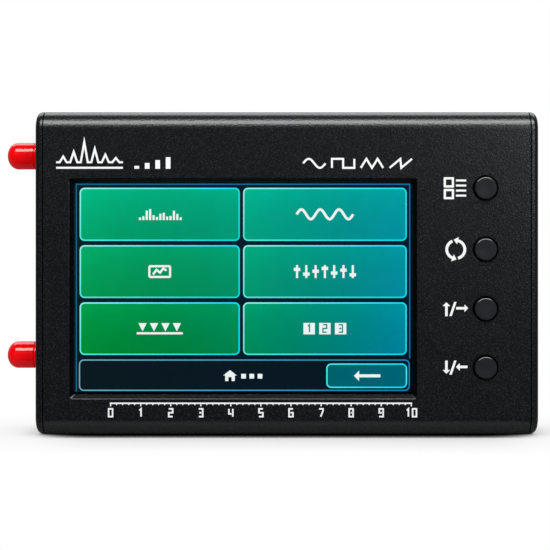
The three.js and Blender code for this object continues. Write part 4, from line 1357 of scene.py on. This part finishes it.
pitch = (SCALE_RIGHT - SCALE_LEFT) / SCALE_STEPS
foot = SCALE_Z - SCALE_LINE
comb = [(SCALE_RIGHT + SCALE_END, foot), (SCALE_RIGHT + SCALE_END, SCALE_Z),
        (SCALE_LEFT - SCALE_END, SCALE_Z), (SCALE_LEFT - SCALE_END, foot)]
for index in range(SCALE_STEPS * SCALE_PARTS + 1):
    place = SCALE_LEFT + index * pitch / SCALE_PARTS
    end = SCALE_Z - (SHORT_TOOTH if index % SCALE_PARTS else LONG_TOOTH)
    comb += [(place - TOOTH_HALF, foot), (place - TOOTH_HALF, end),
             (place + TOOTH_HALF, end), (place + TOOTH_HALF, foot)]
prints.append([np.array(comb)])
for index in range(SCALE_STEPS + 1):
    text = str(index)
    left = SCALE_LEFT + index * pitch - DIGIT_LEFT - DIGIT_STEP / 2 * (len(text) - 1)
    for number, sign in enumerate(text):
        prints += at((left + DIGIT_STEP * number, SCALE_Z - DIGIT_DROP),
                     digit(sign, DIGIT_SIZE, DIGIT_LINE))
print("mm from one number to the next:", round(pitch, 2))

# %% Waves, trace and level bars
WAVE_SIZE = (6.2, 1.25)
WAVE_Z = 75.6
FINE_LINE = 0.55
TRACE_LEFT, TRACE_RIGHT, TRACE_Z, BASE_Z = -64.0, -45.5, 75.9, 74.1
LEVELS, LEVEL_LEFT, LEVEL_STEP, LEVEL_WIDTH, LEVEL_RISE = 4, -42.3, 2.9, 1.3, 0.8
PRINT_DEPTHS = (face_depth - 0.01, face_depth + 0.03)

waves = {                # the left end of each wave, and its shape
    4.5: sine(1, 2, 1),
    12.5: [(0, -1), (0, 1), (0.5, 1), (0.5, -1), (1, -1), (1, 1)],
    20.5: [(0, -1), (0.25, 1), (0.5, -1), (0.75, 1), (1, -1)],
    28.5: [(0, -1), (0.48, 1), (0.52, -1), (1, 1)],
}
for left, shape in waves.items():
    prints.append(stroke(np.array(shape) * WAVE_SIZE + (left, WAVE_Z), FINE_LINE))

peaks = np.array([0, 0, 1.6, 0, 0, 2.9, 0, 0, 5.6, 0, 0, 3.7, 0, 0, 2.1, 0, 0, 1.2, 0, 0])
steps = np.linspace(TRACE_LEFT, TRACE_RIGHT, len(peaks))
prints.append(stroke(np.stack([steps, TRACE_Z + peaks], -1), FINE_LINE))
prints.append([rectangle((TRACE_LEFT, BASE_Z), (TRACE_RIGHT, BASE_Z + FINE_LINE))])
for index in range(LEVELS):
    left = LEVEL_LEFT + LEVEL_STEP * index
    top = BASE_Z + LEVEL_RISE * (index + 1)
    prints.append([rectangle((left, BASE_Z), (left + LEVEL_WIDTH, top))])
make("case_prints", raised(prints, *PRINT_DEPTHS), None, material=paint)

# %% [markdown]
# ## Finishes on the solids that keep their CAD surface
#
# The glass, the boards, cans, chips, standoffs and the battery keep their CAD surfaces.
# Each takes the finish of its slot.

# %% Finishes on CAD nodes
for part in frame["record"]["subparts"]:
    solid = frame["nodes"][part["node"]]
    if not solid.hide_render:
        solid.data.materials.clear()
        solid.data.materials.append(finishes[part["material_slot"]])
        print(part["node"], "takes", part["material_slot"])

# %% [markdown]
# ## The studio
#
# A curved edge mirrors the place that its normal points at, so each bright band says where
# a light stands: in front at about 50 degrees for the front of the top edge, above and
# behind for the narrow band on top, and small and low at the right for the fall of light on
# the face. A softbox of radiance L and area A needs a power of pi times A times L.

# %% Lights
TARGET = Vector((0, 0, 45 * MM))


def softbox(name, azimuth, elevation, distance, size, radiance):
    """A lamp towards the case: azimuth counts from the front to the right, and elevation from
    the front up over the top, so more than 90 degrees is behind."""
    lamp = bpy.data.lights.new(name, "AREA")
    lamp.shape = "RECTANGLE"
    lamp.size, lamp.size_y = size
    lamp.energy = math.pi * size[0] * size[1] * radiance
    light = placed(name, lamp)
    turn, rise = math.radians(azimuth), math.radians(elevation)
    direction = Vector((math.sin(turn) * math.cos(rise), -math.cos(turn) * math.cos(rise),
                        math.sin(rise)))
    light.location = TARGET + direction * distance
    light.rotation_euler = direction.to_track_quat("Z", "Y").to_euler()
    light.visible_camera = False
    print(name, "watts:", round(lamp.energy, 2))


softbox("front_softbox", 8, 52.5, distance=0.8, size=(0.95, 0.34), radiance=7.7)
softbox("rear_softbox", 0, 123, distance=1.0, size=(1.4, 0.6), radiance=2.4)
softbox("face_softbox", 30, 18, distance=0.9, size=(0.25, 0.25), radiance=5.5)

# %% [markdown]
# ### Surroundings and floor
#
# The camera sees plain white. Mirrored rays see other levels, since a dark box shows by what
# its edges mirror: a dim ring round the camera, dark sides, a brighter room behind, and a
# floor that is lit from the front of the case on backwards. The floor gives its own light,
# cut down by how much of its sky the case covers. That ambient occlusion makes the dark line
# along the case's foot and the wide soft shadow, and both fade towards the case's ends.
# Neither world nor floor is sampled as a lamp, so each ray finds the level meant for it.

# %% World
WHITE = (1, 1, 1, 1)
WORLD_FILL = 0.3
MIRRORED_FRONT, RING_STARTS = 0.02, (-0.975, -0.93)
MIRRORED_RING, RING_ENDS = 0.13, (-0.9, -0.7)
MIRRORED_SIDES = 0.012
MIRRORED_BEHIND, BEHIND_STARTS = 0.16, (0.0, 0.6)


def ramp(nodes, value, span, first, second):
    """A level that goes smoothly from first to second as value goes through a span."""
    return nodes.between(value, first, second, *span, "SMOOTHSTEP")


def level_for_rays(nodes, fill, mirrored, seen):
    """One level for the camera, one for glossy and transmitted rays, and else the fill."""
    rays = nodes.put("ShaderNodeLightPath").outputs
    sharp = nodes.math("MAXIMUM", rays["Is Glossy Ray"], rays["Is Transmission Ray"])
    for share, level in ((sharp, mirrored), (rays["Is Camera Ray"], seen)):
        fill = nodes.put("ShaderNodeMix", {0: share, 2: fill, 3: level},
                         data_type="FLOAT").outputs[0]
    return fill


world = bpy.data.worlds.new("studio")
bpy.context.scene.world = world
world.cycles.sampling_method = "NONE"
world.use_nodes = True
world.node_tree.nodes.clear()
nodes = Nodes(world.node_tree, "Generated")
along_y = nodes.axis("Y")
ring_level = nodes.math(
    "MULTIPLY", ramp(nodes, along_y, RING_STARTS, MIRRORED_FRONT, MIRRORED_RING),
    ramp(nodes, along_y, RING_ENDS, 1.0, MIRRORED_SIDES / MIRRORED_RING))
mirrored = nodes.math("ADD", ring_level, ramp(nodes, along_y, BEHIND_STARTS, 0.0, MIRRORED_BEHIND))
level = level_for_rays(nodes, WORLD_FILL, mirrored, 1.0)
backdrop = nodes.put("ShaderNodeBackground", {"Color": WHITE, "Strength": level}).outputs[0]
nodes.put("ShaderNodeOutputWorld", {"Surface": backdrop})
print("nodes of the world:", len(world.node_tree.nodes))

# %% Floor
FLOOR_HALF = 2.0
FLOOR_FILL = 0.8
MIRRORED_FLOOR, FLOOR_STARTS = 0.4, (-0.022, -0.0155)
MIRRORED_BESIDE, BESIDE_STARTS = 0.3, (0.066, 0.073)
CONTACT_REACH, CONTACT_POWER, CONTACT_AT_ENDS = 7.0, 5.5, 0.4
SHADOW_REACH, SHADOW_POWER, SHADOW_AT_ENDS = 40.0, 0.6, 0.3
SHADOW_ENDS = (0.052, 0.071)
SKY_SAMPLES = 8

floor_mesh = bpy.data.meshes.new("floor")
corners = rectangle((-FLOOR_HALF, -FLOOR_HALF), (FLOOR_HALF, FLOOR_HALF))
floor_mesh.from_pydata([(*corner, 0) for corner in corners], [], [(0, 1, 2, 3)])
floor = placed("floor", floor_mesh)
paper = bpy.data.materials.new("paper")
paper.use_nodes = True
paper.cycles.emission_sampling = "NONE"
paper.node_tree.nodes.clear()
nodes = Nodes(paper.node_tree)
from_middle = nodes.math("ABSOLUTE", nodes.axis("X"))
near_sky, wide_sky = [nodes.put("ShaderNodeAmbientOcclusion", {"Distance": reach * MM},
                                samples=SKY_SAMPLES).outputs["AO"]
                      for reach in (CONTACT_REACH, SHADOW_REACH)]
contact_power = ramp(nodes, from_middle, SHADOW_ENDS, CONTACT_POWER, CONTACT_AT_ENDS)
shadow_power = ramp(nodes, from_middle, SHADOW_ENDS, SHADOW_POWER, SHADOW_AT_ENDS)
shade = nodes.math("MULTIPLY", nodes.math("POWER", near_sky, contact_power),
                   nodes.math("POWER", wide_sky, shadow_power))
mirrored = nodes.math("MULTIPLY", ramp(nodes, nodes.axis("Y"), FLOOR_STARTS, 0.0, MIRRORED_FLOOR),
                      ramp(nodes, from_middle, BESIDE_STARTS, 1.0, MIRRORED_BESIDE))
level = level_for_rays(nodes, FLOOR_FILL, nodes.math("MULTIPLY", mirrored, near_sky), shade)
glow = nodes.put("ShaderNodeEmission", {"Color": WHITE, "Strength": level}).outputs[0]
nodes.put("ShaderNodeOutputMaterial", {"Surface": glow})
floor_mesh.materials.append(paper)
print("nodes of the floor:", len(paper.node_tree.nodes))

# %% [markdown]
# ## Last settings
#
# The Standard view keeps the colours as they are worked out above.

# %% Finish
bpy.context.scene.view_settings.view_transform = "Standard"
